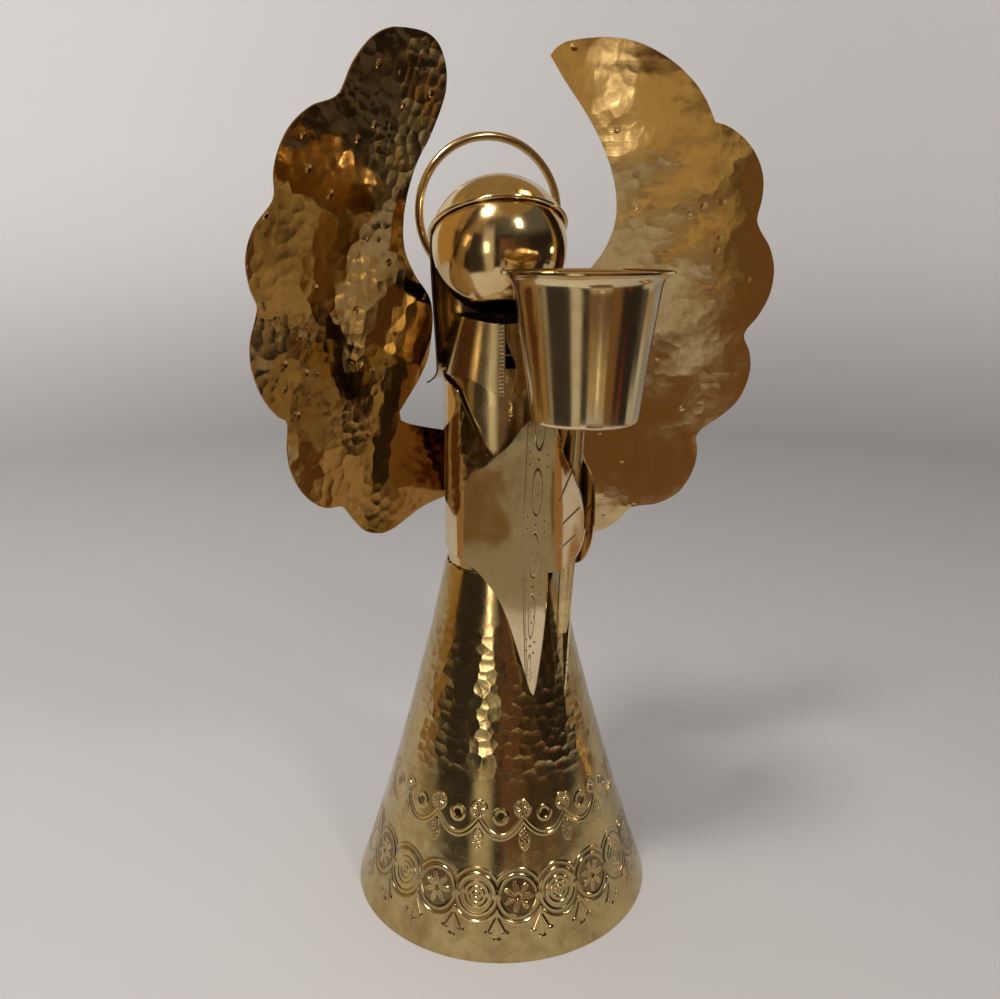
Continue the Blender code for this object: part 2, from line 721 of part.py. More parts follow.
def make_cup(mat, coll):
    b = CUP_BASE_Z
    h = CUP_HEIGHT
    t = HEAVY_T
    r0 = CUP_BASE_R
    r1 = CUP_BODY_R
    lip = CUP_LIP_R
    outer = [
        (0.0, b), (r0 - 0.0012, b), (r0 - 0.0003, b + 0.0004), (r0 + 0.0001, b + 0.0013),
        (r0 + 0.0006, b + 0.0050), (r1 - 0.0001, b + h - 0.0072), (r1 + 0.0007, b + h - 0.0040),
        (r1 + 0.0023, b + h - 0.0018), (lip, b + h - 0.0008),
    ]
    inner = [
        (lip - 0.0001, b + h), (r1 + 0.0019, b + h - 0.0010), (r1 - 0.0001, b + h - 0.0034),
        (r1 - t - 0.0002, b + h - 0.0070), (r0 + 0.0006 - t, b + 0.0052),
        (r0 - t, b + 0.0020), (r0 - t - 0.0008, b + t + 0.0001), (0.0, b + t),
    ]
    return add_object("candle_cup", lathe(outer + inner, ROUND_SEGS, (CUP_X, CUP_Y)), mat, coll)


def make_stem(mat, coll):
    top = CUP_BASE_Z - GAP
    lean = math.tan(math.radians(STEM_LEAN))
    marks = [(0.0, 0.62), (0.02, 0.72), (0.18, 0.93), (0.34, 1.0), (0.62, 1.0), (0.85, 0.88), (1.0, 0.80)]
    bm = bmesh.new()
    segs = 20
    rings = []
    for t, k in marks:
        z = STEM_FOOT_Z + (top - STEM_FOOT_Z) * t
        y = STEM_MID_Y - (z - STEM_MID_Z) * lean
        ring = []
        for i in range(segs):
            a = 2.0 * math.pi * i / segs
            ring.append(bm.verts.new((STEM_R * k * math.sin(a), y - STEM_R * k * math.cos(a), z)))
        rings.append(ring)
    for i in range(len(rings) - 1):
        for k in range(segs):
            j = (k + 1) % segs
            bm.faces.new((rings[i][k], rings[i][j], rings[i + 1][j], rings[i + 1][k]))
    bm.faces.new(rings[0][::-1])
    bm.faces.new(rings[-1])
    return add_object("stem", bm, mat, coll)


def centre_all(coll):
    """Put the middle of the whole footprint box over the origin."""
    lo = np.array([1e9, 1e9])
    hi = -lo
    for ob in coll.objects:
        for v in ob.data.vertices:
            lo = np.minimum(lo, v.co[:2])
            hi = np.maximum(hi, v.co[:2])
    mid = (lo + hi) * 0.5
    move = Vector((-float(mid[0]), -float(mid[1]), 0.0))
    for ob in bpy.data.objects:
        if ob.type == "MESH":
            for v in ob.data.vertices:
                v.co += move


def main():
    clear_scene()
    coll = bpy.data.collections.new(COLLECTION)
    bpy.context.scene.collection.children.link(coll)
    make_skirt(brass("skirt_brass", (0.56, 0.40, 0.18), 0.28), coll)
    make_bodice(brass("bodice_brass", (0.78, 0.62, 0.28), 0.25), coll)
    make_collar(brass("collar_brass", (0.66, 0.50, 0.26), 0.25), coll)
    make_robe(brass("robe_brass", (0.70, 0.56, 0.36), 0.16), coll)
    make_head(brass("head_brass", (0.72, 0.54, 0.26), 0.10), coll)
    make_hair(brass("hair_brass", (0.70, 0.56, 0.32), 0.14), coll)
    make_halo(brass("halo_brass", (0.60, 0.44, 0.22), 0.18), coll)
    make_wing("left_wing", LEFT_WING, -1.0, brass("left_wing_brass", (0.58, 0.38, 0.16), 0.24), coll)
    make_wing("right_wing", RIGHT_WING, 1.0, brass("right_wing_brass", (0.58, 0.36, 0.15), 0.24), coll)
    make_cup(brass("cup_brass", (0.70, 0.54, 0.30), 0.14), coll)
    make_stem(brass("stem_brass", (0.66, 0.48, 0.22), 0.30), coll)
    centre_all(coll)


main()
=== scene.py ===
"""Looks of the sheet-brass angel candle holder.

Metres, +Z up, the angel faces -Y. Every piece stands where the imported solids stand.
"""
import math

import bmesh
import bpy
import numpy as np
from mathutils import Matrix, Vector


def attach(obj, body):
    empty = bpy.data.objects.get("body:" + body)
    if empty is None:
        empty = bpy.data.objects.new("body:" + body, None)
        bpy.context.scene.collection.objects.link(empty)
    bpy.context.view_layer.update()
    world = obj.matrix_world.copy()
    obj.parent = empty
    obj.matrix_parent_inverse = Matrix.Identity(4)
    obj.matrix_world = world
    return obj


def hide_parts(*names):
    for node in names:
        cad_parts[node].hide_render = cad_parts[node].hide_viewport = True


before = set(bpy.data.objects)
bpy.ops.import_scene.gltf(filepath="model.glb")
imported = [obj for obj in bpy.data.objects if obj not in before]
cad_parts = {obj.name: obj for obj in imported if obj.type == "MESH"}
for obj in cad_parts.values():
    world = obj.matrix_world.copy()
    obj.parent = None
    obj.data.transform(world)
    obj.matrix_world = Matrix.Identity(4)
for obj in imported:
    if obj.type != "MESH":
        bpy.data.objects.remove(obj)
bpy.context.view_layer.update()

# The skirt's own upright axis; all turned pieces are measured from it.
AXIS_X = -0.0027004
AXIS_Y = 0.0138500

UPRIGHT = (0.0, 0.0, 1.0)
FULL_TURN = 2.0 * math.pi
MILLIMETRE = 0.001
SHEET_T = 0.0007
HEAVY_T = 0.0008
GAP = 0.0003

SKIRT_TOP_Z = 0.1610
SKIRT_CONE_Z = 0.165
SKIRT_FOOT_R = 0.0699
SKIRT_TAPER = 0.0456
SKIRT_HOLLOW = 0.0112
BODICE_FOOT_Z = 0.1500
BODICE_NECK_Z = 0.2400
BODICE_TALL = 0.0990
BODICE_NECK_R = 0.0234
COLLAR_FOOT_Z = 0.2450
COLLAR_TOP_Z = 0.2690
COLLAR_TOP_R = 0.0189
COLLAR_TURN = 23.0
HEAD_R = 0.0282
HEAD_HOLE_R = 0.0070
HEAD_Z = 0.2972
HEAD_X = -0.0009
HAIR_TURN = 17.0
HAIR_FOOT_Z = 0.2392
HAIR_FOOT_R = 0.0270
HAIR_RIM_Z = 0.0085
HAIR_RIM_SLOPE = 0.487
HAIR_EDGE_ANGLE = 100.0
HAIR_BEAD_R = 0.0010
HALO_R = 0.0322
HALO_WIRE_R = 0.0019
HALO_Z = 0.3114
HALO_SIDE = 0.0053
HALO_TURN = 10.0
WING_SWEEP = 0.438
WING_LEAN = 0.126
WING_CURL = 0.76
CUP_BASE_Z = 0.2340
CUP_Y = -0.0660
CUP_X = 0.0003
CUP_FOOT_R = 0.0200
CUP_MOUTH_R = 0.0269
CUP_LIP_R = 0.0316
CUP_TALL = 0.0552
STEM_R = 0.0030
STEM_FOOT_Z = 0.1440
STEM_LEAN = 6.0
STEM_MID_Z = 0.1900
STEM_MID_Y = -0.0581

# The sleeves run straight from the bodice to the stem and bend there into the hands.
SLEEVE_CLEAR = 0.00062
SLEEVE_AIM_Y = 0.0550
SLEEVE_LONG = 0.125
HAND_BEND = 0.010
HAND_TURN = 97.0

# The wing's sheet, in millimetres along it: soldered up to the tab, flat from free on.
WING_TAB = 4.0
WING_ROOT = 8.0
WING_SET = 24.0
WING_FREE = 40.0
WING_NOTCH_Z = 225.0
WING_WAIST_Z = 200.0

# Flat patterns of the bent sheets, in millimetres along and up the sheet.
ARMHOLE = [
    (28.7, 245.0), (38.0, 242.8), (45.9, 239.3), (51.8, 229.6), (56.1, 222.6),
    (60.6, 215.6), (63.2, 213.0), (66.4, 213.9), (74.3, 220.0), (80.5, 227.5),
    (84.6, 231.2), (88.0, 231.8), (94.0, 231.8),
]
HEM = [(54.8, 162.9), (45.8, 165.6), (37.7, 167.3)]
NEAR_SLEEVE = ARMHOLE + [
    (97.0, 231.0), (99.0, 226.6), (101.7, 220.2), (105.4, 215.6), (109.5, 211.1),
    (113.4, 205.0), (115.2, 198.3),
    (114.6, 189.5), (111.2, 182.2), (106.3, 176.3), (101.0, 172.3), (96.6, 170.6),
    (94.1, 170.2), (93.9, 162.0), (93.1, 151.6), (91.2, 135.1), (88.6, 118.5),
    (87.4, 113.4), (86.0, 114.6), (81.6, 125.4), (76.6, 137.2), (72.9, 145.4),
    (68.0, 152.6), (62.4, 157.6),
] + HEM
FAR_SLEEVE = ARMHOLE + [
    (97.0, 230.6), (101.6, 222.6),
    (105.4, 217.6), (109.6, 215.2), (112.9, 211.4), (114.5, 205.0), (114.9, 194.4),
    (113.2, 187.0), (109.1, 180.9), (103.6, 176.0), (97.4, 173.2), (93.4, 172.2),
    (93.2, 164.0), (91.6, 150.6), (88.0, 134.1), (83.2, 114.6), (81.4, 109.0),
    (80.0, 110.2), (77.4, 119.4), (74.4, 132.2), (71.2, 143.4), (66.6, 152.0),
    (61.4, 157.4),
] + HEM
RIGHT_WING = [
    (0.6, 188.4), (8.0, 186.6), (17.4, 185.2), (28.9, 182.4), (40.8, 177.3),
    (46.5, 175.6), (52.3, 175.4), (60.6, 178.6), (66.5, 184.7), (71.6, 191.6),
    (74.0, 193.4), (80.7, 194.4), (85.6, 196.9), (91.8, 202.9), (96.9, 212.1),
    (98.9, 222.7), (98.5, 231.6), (99.4, 234.4), (103.3, 237.0), (108.9, 244.5),
    (112.6, 254.1), (113.4, 264.2), (111.0, 273.6), (110.4, 277.2), (113.3, 284.0),
    (114.8, 293.6), (111.9, 303.4), (105.2, 311.6), (104.2, 314.4), (104.6, 321.5),
    (102.5, 329.3), (98.2, 336.3), (90.9, 342.3), (82.4, 345.6), (79.6, 348.0),
    (75.4, 357.0), (69.7, 364.1), (63.9, 368.0), (57.5, 369.9), (46.2, 370.3),
    (40.4, 368.6), (36.5, 365.2), (33.4, 359.4), (33.0, 351.3), (38.3, 337.2),
    (43.3, 328.2), (46.8, 316.7), (47.6, 306.9), (45.8, 296.4), (39.7, 286.8),
    (30.8, 277.4), (27.9, 270.0), (27.5, 262.0), (28.6, 251.0), (33.0, 242.6),
    (39.4, 234.7), (43.7, 229.4), (42.8, 225.6), (38.6, 223.4), (28.4, 220.0),
    (17.2, 216.8), (8.0, 214.6), (0.6, 213.6),
]
LEFT_WING = [
    (0.6, 186.0), (8.0, 184.0), (17.4, 180.6), (28.9, 174.6), (40.8, 166.9),
    (46.5, 162.4), (53.0, 160.0), (59.6, 160.4), (65.0, 162.6), (69.9, 166.4),
    (73.2, 171.4), (76.0, 173.2), (86.2, 174.6), (92.0, 177.4), (96.6, 181.6),
    (100.9, 191.6), (101.8, 201.0), (100.4, 208.4), (101.8, 212.0), (109.8, 218.9),
    (115.4, 225.2), (118.4, 233.0), (119.0, 242.0), (116.9, 250.1), (113.4, 256.6),
    (113.6, 260.0), (117.4, 266.4), (120.2, 276.3), (119.4, 287.3), (115.3, 296.9),
    (109.4, 304.4), (107.2, 308.6), (107.0, 317.0), (105.4, 324.8), (101.0, 332.9),
    (94.2, 340.1), (86.0, 345.1), (80.4, 346.6), (78.6, 349.4), (74.5, 355.0),
    (68.6, 361.1), (58.7, 368.2), (48.1, 373.3), (39.7, 375.5), (30.1, 375.9),
    (19.5, 374.5), (15.8, 372.5), (13.8, 369.6), (20.6, 361.2), (30.2, 350.2),
    (37.7, 340.3), (44.5, 328.7), (49.0, 316.8), (50.2, 306.1), (47.8, 295.6),
    (42.6, 286.6), (34.4, 277.0), (30.6, 269.0), (30.0, 260.0), (31.4, 250.0),
    (35.0, 241.6), (40.8, 233.7), (44.2, 228.4), (43.2, 224.6), (38.6, 222.4),
    (28.4, 219.0), (17.2, 215.8), (8.0, 213.6), (0.6, 212.6),
]


def ease(t):
    t = min(max(t, 0.0), 1.0)
    return t * t * (3.0 - 2.0 * t)


def wander(x, y, z, seed=0.0):
    """Smooth unevenness of hand-worked sheet, about -1 to 1."""
    a = math.sin(61.0 * x + 23.0 * z + 1.7 + seed) + math.sin(47.0 * y - 71.0 * z + 0.4 + 2.0 * seed)
    b = math.sin(137.0 * x - 93.0 * z + 3.1 * seed) * math.cos(117.0 * z + 59.0 * y + seed)
    return 0.35 * a + 0.3 * b


def smooth_run(p0, p1, p2, p3, step, rounding):
    """Points of a smooth curve from p1 up to p2, about a step apart."""
    span = (p2 - p1).length
    m1 = (p2 - p0) / max(span + (p1 - p0).length, 1e-9) * span
    m2 = (p3 - p1) / max((p3 - p2).length + span, 1e-9) * span
    count = max(1, int(rounding(span / step)))
    run = []
    for k in range(count):
        t = k / count
        t2 = t * t
        t3 = t2 * t
        run.append(
            p1 * (2 * t3 - 3 * t2 + 1) + m1 * (t3 - 2 * t2 + t)
            + p2 * (-2 * t3 + 3 * t2) + m2 * (t3 - t2)
        )
    return run


def cut_line(loop, step, corner=33.0):
    """Snip line of a pattern: rounded between its sharp corners."""
    pts = [Vector(p) * 0.001 for p in loop]
    n = len(pts)
    sharp = []
    for i in range(n):
        a = pts[i] - pts[i - 1]
        b = pts[(i + 1) % n] - pts[i]
        sharp.append(math.degrees(a.angle(b)) > corner)
    line = []
    for i in range(n):
        p1 = pts[i]
        p2 = pts[(i + 1) % n]
        p0 = p1 * 2.0 - p2 if sharp[i] else pts[i - 1]
        p3 = p2 * 2.0 - p1 if sharp[(i + 1) % n] else pts[(i + 2) % n]
        line += smooth_run(p0, p1, p2, p3, step, round)
    return line


def ruled_sheet(line, step):
    """Flat sheet cut to a line in the XZ plane and ruled into small squares."""
    bm = bmesh.new()
    bm.faces.new([bm.verts.new((p[0], 0.0, p[1])) for p in line])
    xs = [p[0] for p in line]
    zs = [p[1] for p in line]
    for across, low, high in (((1, 0, 0), min(xs), max(xs)), ((0, 0, 1), min(zs), max(zs))):
        at = low + step * 0.47
        while at < high:
            whole = bm.verts[:] + bm.edges[:] + bm.faces[:]
            bmesh.ops.bisect_plane(
                bm, geom=whole, dist=1e-7, plane_co=Vector(across) * at, plane_no=across
            )
            at += step
    return bm


def bend(bm, place):
    """Bend a ruled sheet; each point keeps where it lay in the flat pattern."""
    flat = bm.verts.layers.float_vector.new("flat")
    for v in bm.verts:
        v[flat] = v.co
        v.co = place(v.co.x, v.co.z)


def thicken(bm, wall, outward):
    """Give a sheet its wall, half to each side; outward tells which way its face looks."""
    bm.normal_update()
    lean = sum(f.normal.dot(outward(f.calc_center_median())) for f in bm.faces)
    if lean < 0.0:
        bmesh.ops.reverse_faces(bm, faces=bm.faces[:])
        bm.normal_update()
    shift = [(v, v.normal * wall * 0.5) for v in bm.verts]
    for v, d in shift:
        v.co += d
    bmesh.ops.solidify(bm, geom=bm.faces[:], thickness=wall)


def swing(bm, hub, axis, angle, steps, joined=False):
    """Spin what a bmesh holds about an axis; a joined turn is closed up, with its faces outward."""
    bmesh.ops.spin(
        bm, geom=bm.verts[:] + bm.edges[:], cent=hub, axis=axis, angle=angle, steps=steps,
        use_merge=joined, use_duplicate=False,
    )
    if joined:
        bmesh.ops.remove_doubles(bm, verts=bm.verts[:], dist=1e-6)
        bmesh.ops.recalc_face_normals(bm, faces=bm.faces[:])


def turned(profile, steps, centre, closed=True):
    """Spin a (radius, height) outline round an upright axis."""
    bm = bmesh.new()
    cx, cy = centre
    verts = [bm.verts.new((cx + r, cy, z)) for r, z in profile]
    for a, b in zip(verts, verts[1:]):
        bm.edges.new((a, b))
    if closed:
        bm.edges.new((verts[-1], verts[0]))
    swing(bm, (cx, cy, 0.0), UPRIGHT, FULL_TURN, steps, joined=True)
    return bm


def wire_end(bm, hub, out, axis, radius, wire_r, segments):
    """Round section of a wire ring, standing at its radius on one side of the hub."""
    knot = bmesh.ops.create_circle(bm, segments=segments, radius=wire_r, cap_ends=False)["verts"]
    stand = Matrix((out, axis, out.cross(axis))).transposed().to_4x4()
    bmesh.ops.transform(bm, matrix=Matrix.Translation(hub + out * radius) @ stand, verts=knot)


def drawn_profile(points, step):
    """A smooth wall line through a few (radius, height) points."""
    out = []
    n = len(points)
    for i in range(n - 1):
        p1 = Vector(points[i])
        p2 = Vector(points[i + 1])
        p0 = Vector(points[i - 1]) if i else p1 * 2.0 - p2
        p3 = Vector(points[i + 2]) if i + 2 < n else p2 * 2.0 - p1
        out += [(p.x, p.y) for p in smooth_run(p0, p1, p2, p3, step, math.ceil)]
    out.append(points[-1])
    return out


def set_out(name, bm, finish):
    """Make an object of a finished bmesh."""
    mesh = bpy.data.meshes.new(name)
    bm.to_mesh(mesh)
    bm.free()
    mesh.materials.append(finish)
    mesh.shade_smooth()
    thing = bpy.data.objects.new(name, mesh)
    bpy.context.scene.collection.objects.link(thing)
    return thing


def lay_down(name, bm, finish, node, crease=38.0):
    """Put a finished piece in the scene in place of its solid."""
    piece = set_out(name, bm, finish)
    piece.data.set_sharp_from_angle(angle=math.radians(crease))
    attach(piece, "root")
    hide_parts(node)
    return piece


def worn_rim(piece, width=0.00016):
    """Break the sharp arris of a cut sheet."""
    mod = piece.modifiers.new("broken_arris", "BEVEL")
    mod.width = width
    mod.segments = 2
    mod.limit_method = "ANGLE"
    mod.angle_limit = math.radians(55.0)
    mod.harden_normals = True
    mod.use_clamp_overlap = True


class Bench:
    """Wires nodes into one shader tree."""

    def __init__(self, tree):
        self.tree = tree

    def put(self, kind, **settings):
        node = self.tree.nodes.new(kind)
        for key, value in settings.items():
            setattr(node, key, value)
        return node

    def plug(self, socket, value):
        if isinstance(value, bpy.types.NodeSocket):
            self.tree.links.new(value, socket)
        elif value is not None:
            socket.default_value = value

    def fill(self, node, **values):
        for label, value in values.items():
            self.plug(node.inputs[label], value)
        return node

    def sum(self, op, a, b=None, clamp=False):
        node = self.put("ShaderNodeMath", operation=op, use_clamp=clamp)
        self.plug(node.inputs[0], a)
        self.plug(node.inputs[1], b)
        return node.outputs[0]

    def add(self, a, b):
        return self.sum("ADD", a, b)

    def sub(self, a, b):
        return self.sum("SUBTRACT", a, b)

    def mul(self, a, b):
        return self.sum("MULTIPLY", a, b)

    def span(self, value, lo, hi, to_lo=0.0, to_hi=1.0, soft=True):
        how = "SMOOTHSTEP" if soft else "LINEAR"
        node = self.put("ShaderNodeMapRange", interpolation_type=how, clamp=True)
        for socket, given in zip(node.inputs[:5], (value, lo, hi, to_lo, to_hi)):
            self.plug(socket, given)
        return node.outputs["Result"]

    def size(self, value):
        return self.sum("ABSOLUTE", value)

    def more(self, a, b):
        return self.sum("MAXIMUM", a, b)

    def ridge(self, distance, half):
        return self.span(self.size(distance), 0.0, half, 1.0, 0.0)

    def length(self, x, y):
        return self.sum("SQRT", self.add(self.mul(x, x), self.mul(y, y)))

    def stroke(self, x, y, a, b):
        """Distance to a straight stroke from a to b."""
        dx = b[0] - a[0]
        dy = b[1] - a[1]
        size = dx * dx + dy * dy
        px = self.sub(x, a[0])
        py = self.sub(y, a[1])
        t = self.add(self.mul(px, dx / size), self.mul(py, dy / size))
        t = self.sum("ADD", t, 0.0, clamp=True)
        return self.length(self.sub(px, self.mul(t, dx)), self.sub(py, self.mul(t, dy)))

    def blend(self, factor, a, b):
        node = self.put("ShaderNodeMix", data_type="RGBA")
        self.plug(node.inputs[0], factor)
        self.plug(node.inputs[6], a)
        self.plug(node.inputs[7], b)
        return node.outputs[2]

    def noise(self, where, scale, detail=3.0, rough=0.55, warp=0.0):
        node = self.put("ShaderNodeTexNoise")
        self.fill(node, Vector=where, Scale=scale, Detail=detail, Roughness=rough, Distortion=warp)
        return node.outputs["Fac"]

    def cells(self, where, scale, smooth=0.0, random=1.0):
        node = self.put("ShaderNodeTexVoronoi", feature="SMOOTH_F1" if smooth else "F1")
        self.fill(node, Vector=where, Scale=scale, Randomness=random)
        if smooth:
            self.fill(node, Smoothness=smooth)
        return node.outputs["Distance"]

    def parts(self, vector):
        node = self.put("ShaderNodeSeparateXYZ")
        self.plug(node.inputs[0], vector)
        return node.outputs

    def shifted(self, vector, scale=(1.0, 1.0, 1.0), move=(0.0, 0.0, 0.0), turn=(0.0, 0.0, 0.0)):
        node = self.put("ShaderNodeMapping")
        self.fill(node, Vector=vector, Scale=scale, Location=move, Rotation=turn)
        return node.outputs[0]


SOCKET_KINDS = {type(None): "NodeSocketVector", tuple: "NodeSocketColor", float: "NodeSocketFloat"}


def new_group(name, gives, **takes):
    """Empty node group with its sockets; returns the group, its bench, its inputs and its end."""
    group = bpy.data.node_groups.new(name, "ShaderNodeTree")
    for label, value in takes.items():
        kind = SOCKET_KINDS[type(value)]
        socket = group.interface.new_socket(name=label, in_out="INPUT", socket_type=kind)
        if value is not None:
            socket.default_value = value
    for label in gives:
        kind = "NodeSocketColor" if label == "Color" else "NodeSocketFloat"
        group.interface.new_socket(name=label, in_out="OUTPUT", socket_type=kind)
    bench = Bench(group)
    start = bench.put("NodeGroupInput")
    end = bench.put("NodeGroupOutput")
    return group, bench, start.outputs, end.inputs


def build_aged_tone():
    """Colour and roughness of old lacquerless brass."""
    group, b, give, end = new_group(
        "aged_tone", ["Color", "Roughness"], Where=None, Gold=(0.75, 0.58, 0.30, 1.0),
        Brown=(0.42, 0.24, 0.09, 1.0), Red=(0.50, 0.20, 0.10, 1.0), Age=0.5, Rough=0.16,
    )
    where = give["Where"]
    clouds = b.noise(where, 34.0, 8.0, 0.72, 0.5)
    drift = b.noise(b.shifted(where, move=(0.3, 0.1, 0.7)), 120.0, 6.0, 0.7, 0.3)
    blush = b.noise(b.shifted(where, move=(0.9, 0.4, 0.2)), 70.0, 6.0, 0.68, 0.6)
    speck = b.noise(b.shifted(where, move=(0.2, 0.6, 0.1)), 950.0, 2.0, 0.6)
    brown = b.span(b.add(b.mul(clouds, 0.6), b.mul(drift, 0.4)), 0.40, 0.66)
    tone = b.blend(b.mul(brown, give["Age"]), give["Gold"], give["Brown"])
    red = b.mul(b.span(blush, 0.58, 0.76), b.mul(give["Age"], 0.55))
    tone = b.blend(red, tone, give["Red"])
    pits = b.mul(b.span(speck, 0.66, 0.74), b.mul(give["Age"], 0.7))
    tone = b.blend(pits, tone, (0.10, 0.055, 0.025, 1.0))
    b.plug(end["Color"], tone)
    haze = b.span(drift, 0.35, 0.75, 0.0, 0.10)
    rough = b.add(give["Rough"], b.mul(haze, give["Age"]))
    rough = b.add(rough, b.mul(brown, 0.05))
    b.plug(end["Roughness"], b.add(rough, b.mul(pits, 0.3)))
    return group


def build_hammer_marks():
    """Height of planishing dimples, in millimetres."""
    group, b, give, end = new_group(
        "hammer_marks", ["Height"], Where=None, Amount=1.0, Sway=1.0, Nicks=0.0
    )
    where = give["Where"]
    big = b.cells(where, 200.0, 0.25, 0.7)
    small = b.cells(b.shifted(where, move=(0.37, 0.11, 0.23)), 260.0)
    dish = b.add(b.mul(b.mul(big, big), 0.42), b.mul(b.mul(small, small), 0.08))
    sway = b.noise(where, 38.0, 2.0, 0.5)
    height = b.add(b.mul(dish, give["Amount"]), b.mul(b.mul(sway, 0.8), give["Sway"]))
    nick = b.span(b.cells(b.shifted(where, move=(0.13, 0.47, 0.29)), 85.0), 0.15, 0.03)
    b.plug(end["Height"], b.sub(height, b.mul(b.mul(nick, 0.42), give["Nicks"])))
    return group


def build_turning_marks():
    """Fine rings left by spinning and polishing."""
    group, b, give, end = new_group("turning_marks", ["Height"], Where=None, Amount=1.0)
    fine = b.noise(b.shifted(give["Where"], scale=(12.0, 12.0, 2600.0)), 1.0, 2.0, 0.6)
    wide = b.noise(b.shifted(give["Where"], scale=(8.0, 8.0, 420.0)), 1.0, 2.0, 0.5)
    b.plug(end["Height"], b.mul(b.add(b.mul(fine, 0.004), b.mul(wide, 0.010)), give["Amount"]))
    return group


def build_polish_scratches():
    """Short fine rubbing marks."""
    group, b, give, end = new_group("polish_scratches", ["Height"], Where=None, Amount=1.0)
    level = b.shifted(give["Where"], scale=(60.0, 60.0, 1500.0), turn=(0.5, 0.2, 0.0))
    slant = b.shifted(give["Where"], scale=(1300.0, 300.0, 70.0), turn=(0.0, 0.4, 0.7))
    both = b.add(b.noise(level, 1.0, 2.0, 0.7), b.noise(slant, 1.0, 2.0, 0.7))
    b.plug(end["Height"], b.mul(b.mul(both, 0.006), give["Amount"]))
    return group


def build_skirt_bands():
    """Two stamped bands round the foot of the skirt, height in millimetres."""
    group, b, give, end = new_group("skirt_bands", ["Height", "Groove"], Where=None)
    where = b.shifted(give["Where"], move=(-AXIS_X, -AXIS_Y, 0.0))
    jig = b.noise(b.shifted(where, move=(0.4, 0.2, 0.0)), 55.0, 1.0)
    x, y, z = b.parts(where)
    turn = b.mul(b.sum("ARCTAN2", x, b.mul(y, -1.0)), 180.0 / math.pi)
    radius = b.mul(b.length(x, y), 1000.0)
    up = b.add(b.mul(z, 1000.0), b.mul(b.sub(jig, 0.5), 1.2))

    def strip(first, pitch, middle):
        s = b.mul(b.sub(turn, first), 1.0 / pitch)
        whole = b.sum("FLOOR", b.add(s, 0.5))
        arc = b.mul(radius, math.radians(pitch))
        here = b.mul(b.sub(s, whole), arc)
        between = b.mul(b.sub(b.sub(s, b.sum("FLOOR", s)), 0.5), arc)
        odd = b.size(b.sum("FLOORED_MODULO", whole, 2.0))
        return here, between, odd, b.sub(up, middle)

    # lower band: bullseye and flower medallions, arcs over and under, sprigs between
    mx, jx, odd, my = strip(-38.4, 17.3, 26.6)
    far = b.length(mx, my)
    around = b.sum("ARCTAN2", my, mx)
    rim = b.ridge(b.sub(far, 8.4), 1.1)
    gutter = b.ridge(b.sub(far, 9.8), 0.8)
    brow = b.mul(b.ridge(b.sub(far, 11.0), 1.0), b.span(b.size(my), 3.2, 5.2))
    eye = b.add(b.ridge(b.sub(far, 1.2), 0.8), b.ridge(b.sub(far, 3.3), 0.8))
    eye = b.add(eye, b.ridge(b.sub(far, 5.4), 0.9))
    petal = b.size(b.sum("COSINE", b.mul(around, 3.5)))
    reach = b.add(b.mul(petal, 4.4), 2.6)
    flower = b.mul(b.span(b.sub(reach, far), 0.0, 1.3), b.span(far, 0.6, 1.8))
    vein = b.mul(b.ridge(b.sub(petal, 1.0), 0.03), b.span(far, 2.0, 3.0))
    flower = b.sub(flower, b.mul(b.mul(vein, flower), 0.5))
    face = b.add(b.mul(eye, b.sub(1.0, odd)), b.mul(flower, b.mul(odd, 1.2)))
    face = b.mul(face, b.span(far, 8.2, 7.4))
    lower = b.add(b.add(rim, b.mul(brow, 1.1)), face)
    lower = b.sub(lower, b.mul(gutter, 0.7))
    sprig = b.ridge(b.stroke(jx, my, (0.0, -6.0), (0.0, -16.5)), 1.0)
    for side in (-1.0, 1.0):
        twig = b.stroke(jx, my, (0.0, -8.5), (side * 3.4, -14.4))
        sprig = b.more(sprig, b.ridge(twig, 1.0))
        ball = b.length(b.sub(jx, side * 3.8), b.sub(my, -15.0))
        sprig = b.more(sprig, b.mul(b.span(ball, 1.9, 0.4), 1.5))
    ball = b.length(jx, b.sub(my, -17.6))
    sprig = b.more(sprig, b.mul(b.span(ball, 2.0, 0.4), 1.5))
    knot = b.span(b.length(jx, my), 2.2, 0.6)
    lower = b.add(b.add(lower, sprig), b.mul(knot, 0.8))

    # upper band: rings in swags, daisies on the joints, stippled leaves under them
    rx, dx, _, ry = strip(-28.2, 21.75, 59.2)
    ring = b.ridge(b.sub(b.length(rx, ry), 2.7), 1.2)
    dip = b.add(b.mul(b.mul(rx, rx), 0.078), -8.4)
    slope = b.sum("SQRT", b.add(b.mul(b.mul(rx, rx), 0.0243), 1.0))
    rope = b.sum("DIVIDE", b.sub(ry, dip), slope)
    swag = b.add(b.ridge(b.sub(rope, 0.8), 0.8), b.mul(b.ridge(b.add(rope, 0.8), 0.8), 0.8))
    dy = b.sub(ry, 2.8)
    bloom = b.length(dx, dy)
    rays = b.sum("COSINE", b.mul(b.sum("ARCTAN2", dy, dx), 12.0))
    daisy = b.mul(b.span(bloom, 3.6, 3.0), b.add(0.55, b.mul(rays, 0.35)))
    daisy = b.add(daisy, b.mul(b.ridge(b.sub(bloom, 3.4), 0.7), 0.7))
    leaf_y = b.add(ry, 9.6)
    leaf = b.span(b.length(b.mul(dx, 1.9), leaf_y), 5.0, 4.0)
    stipple = b.span(b.cells(where, 1100.0), 0.2, 0.55)
    leaf = b.mul(leaf, b.add(0.35, b.mul(stipple, 0.5)))
    swag = b.mul(swag, b.span(bloom, 3.2, 4.2))
    upper = b.add(b.add(ring, swag), b.add(daisy, leaf))

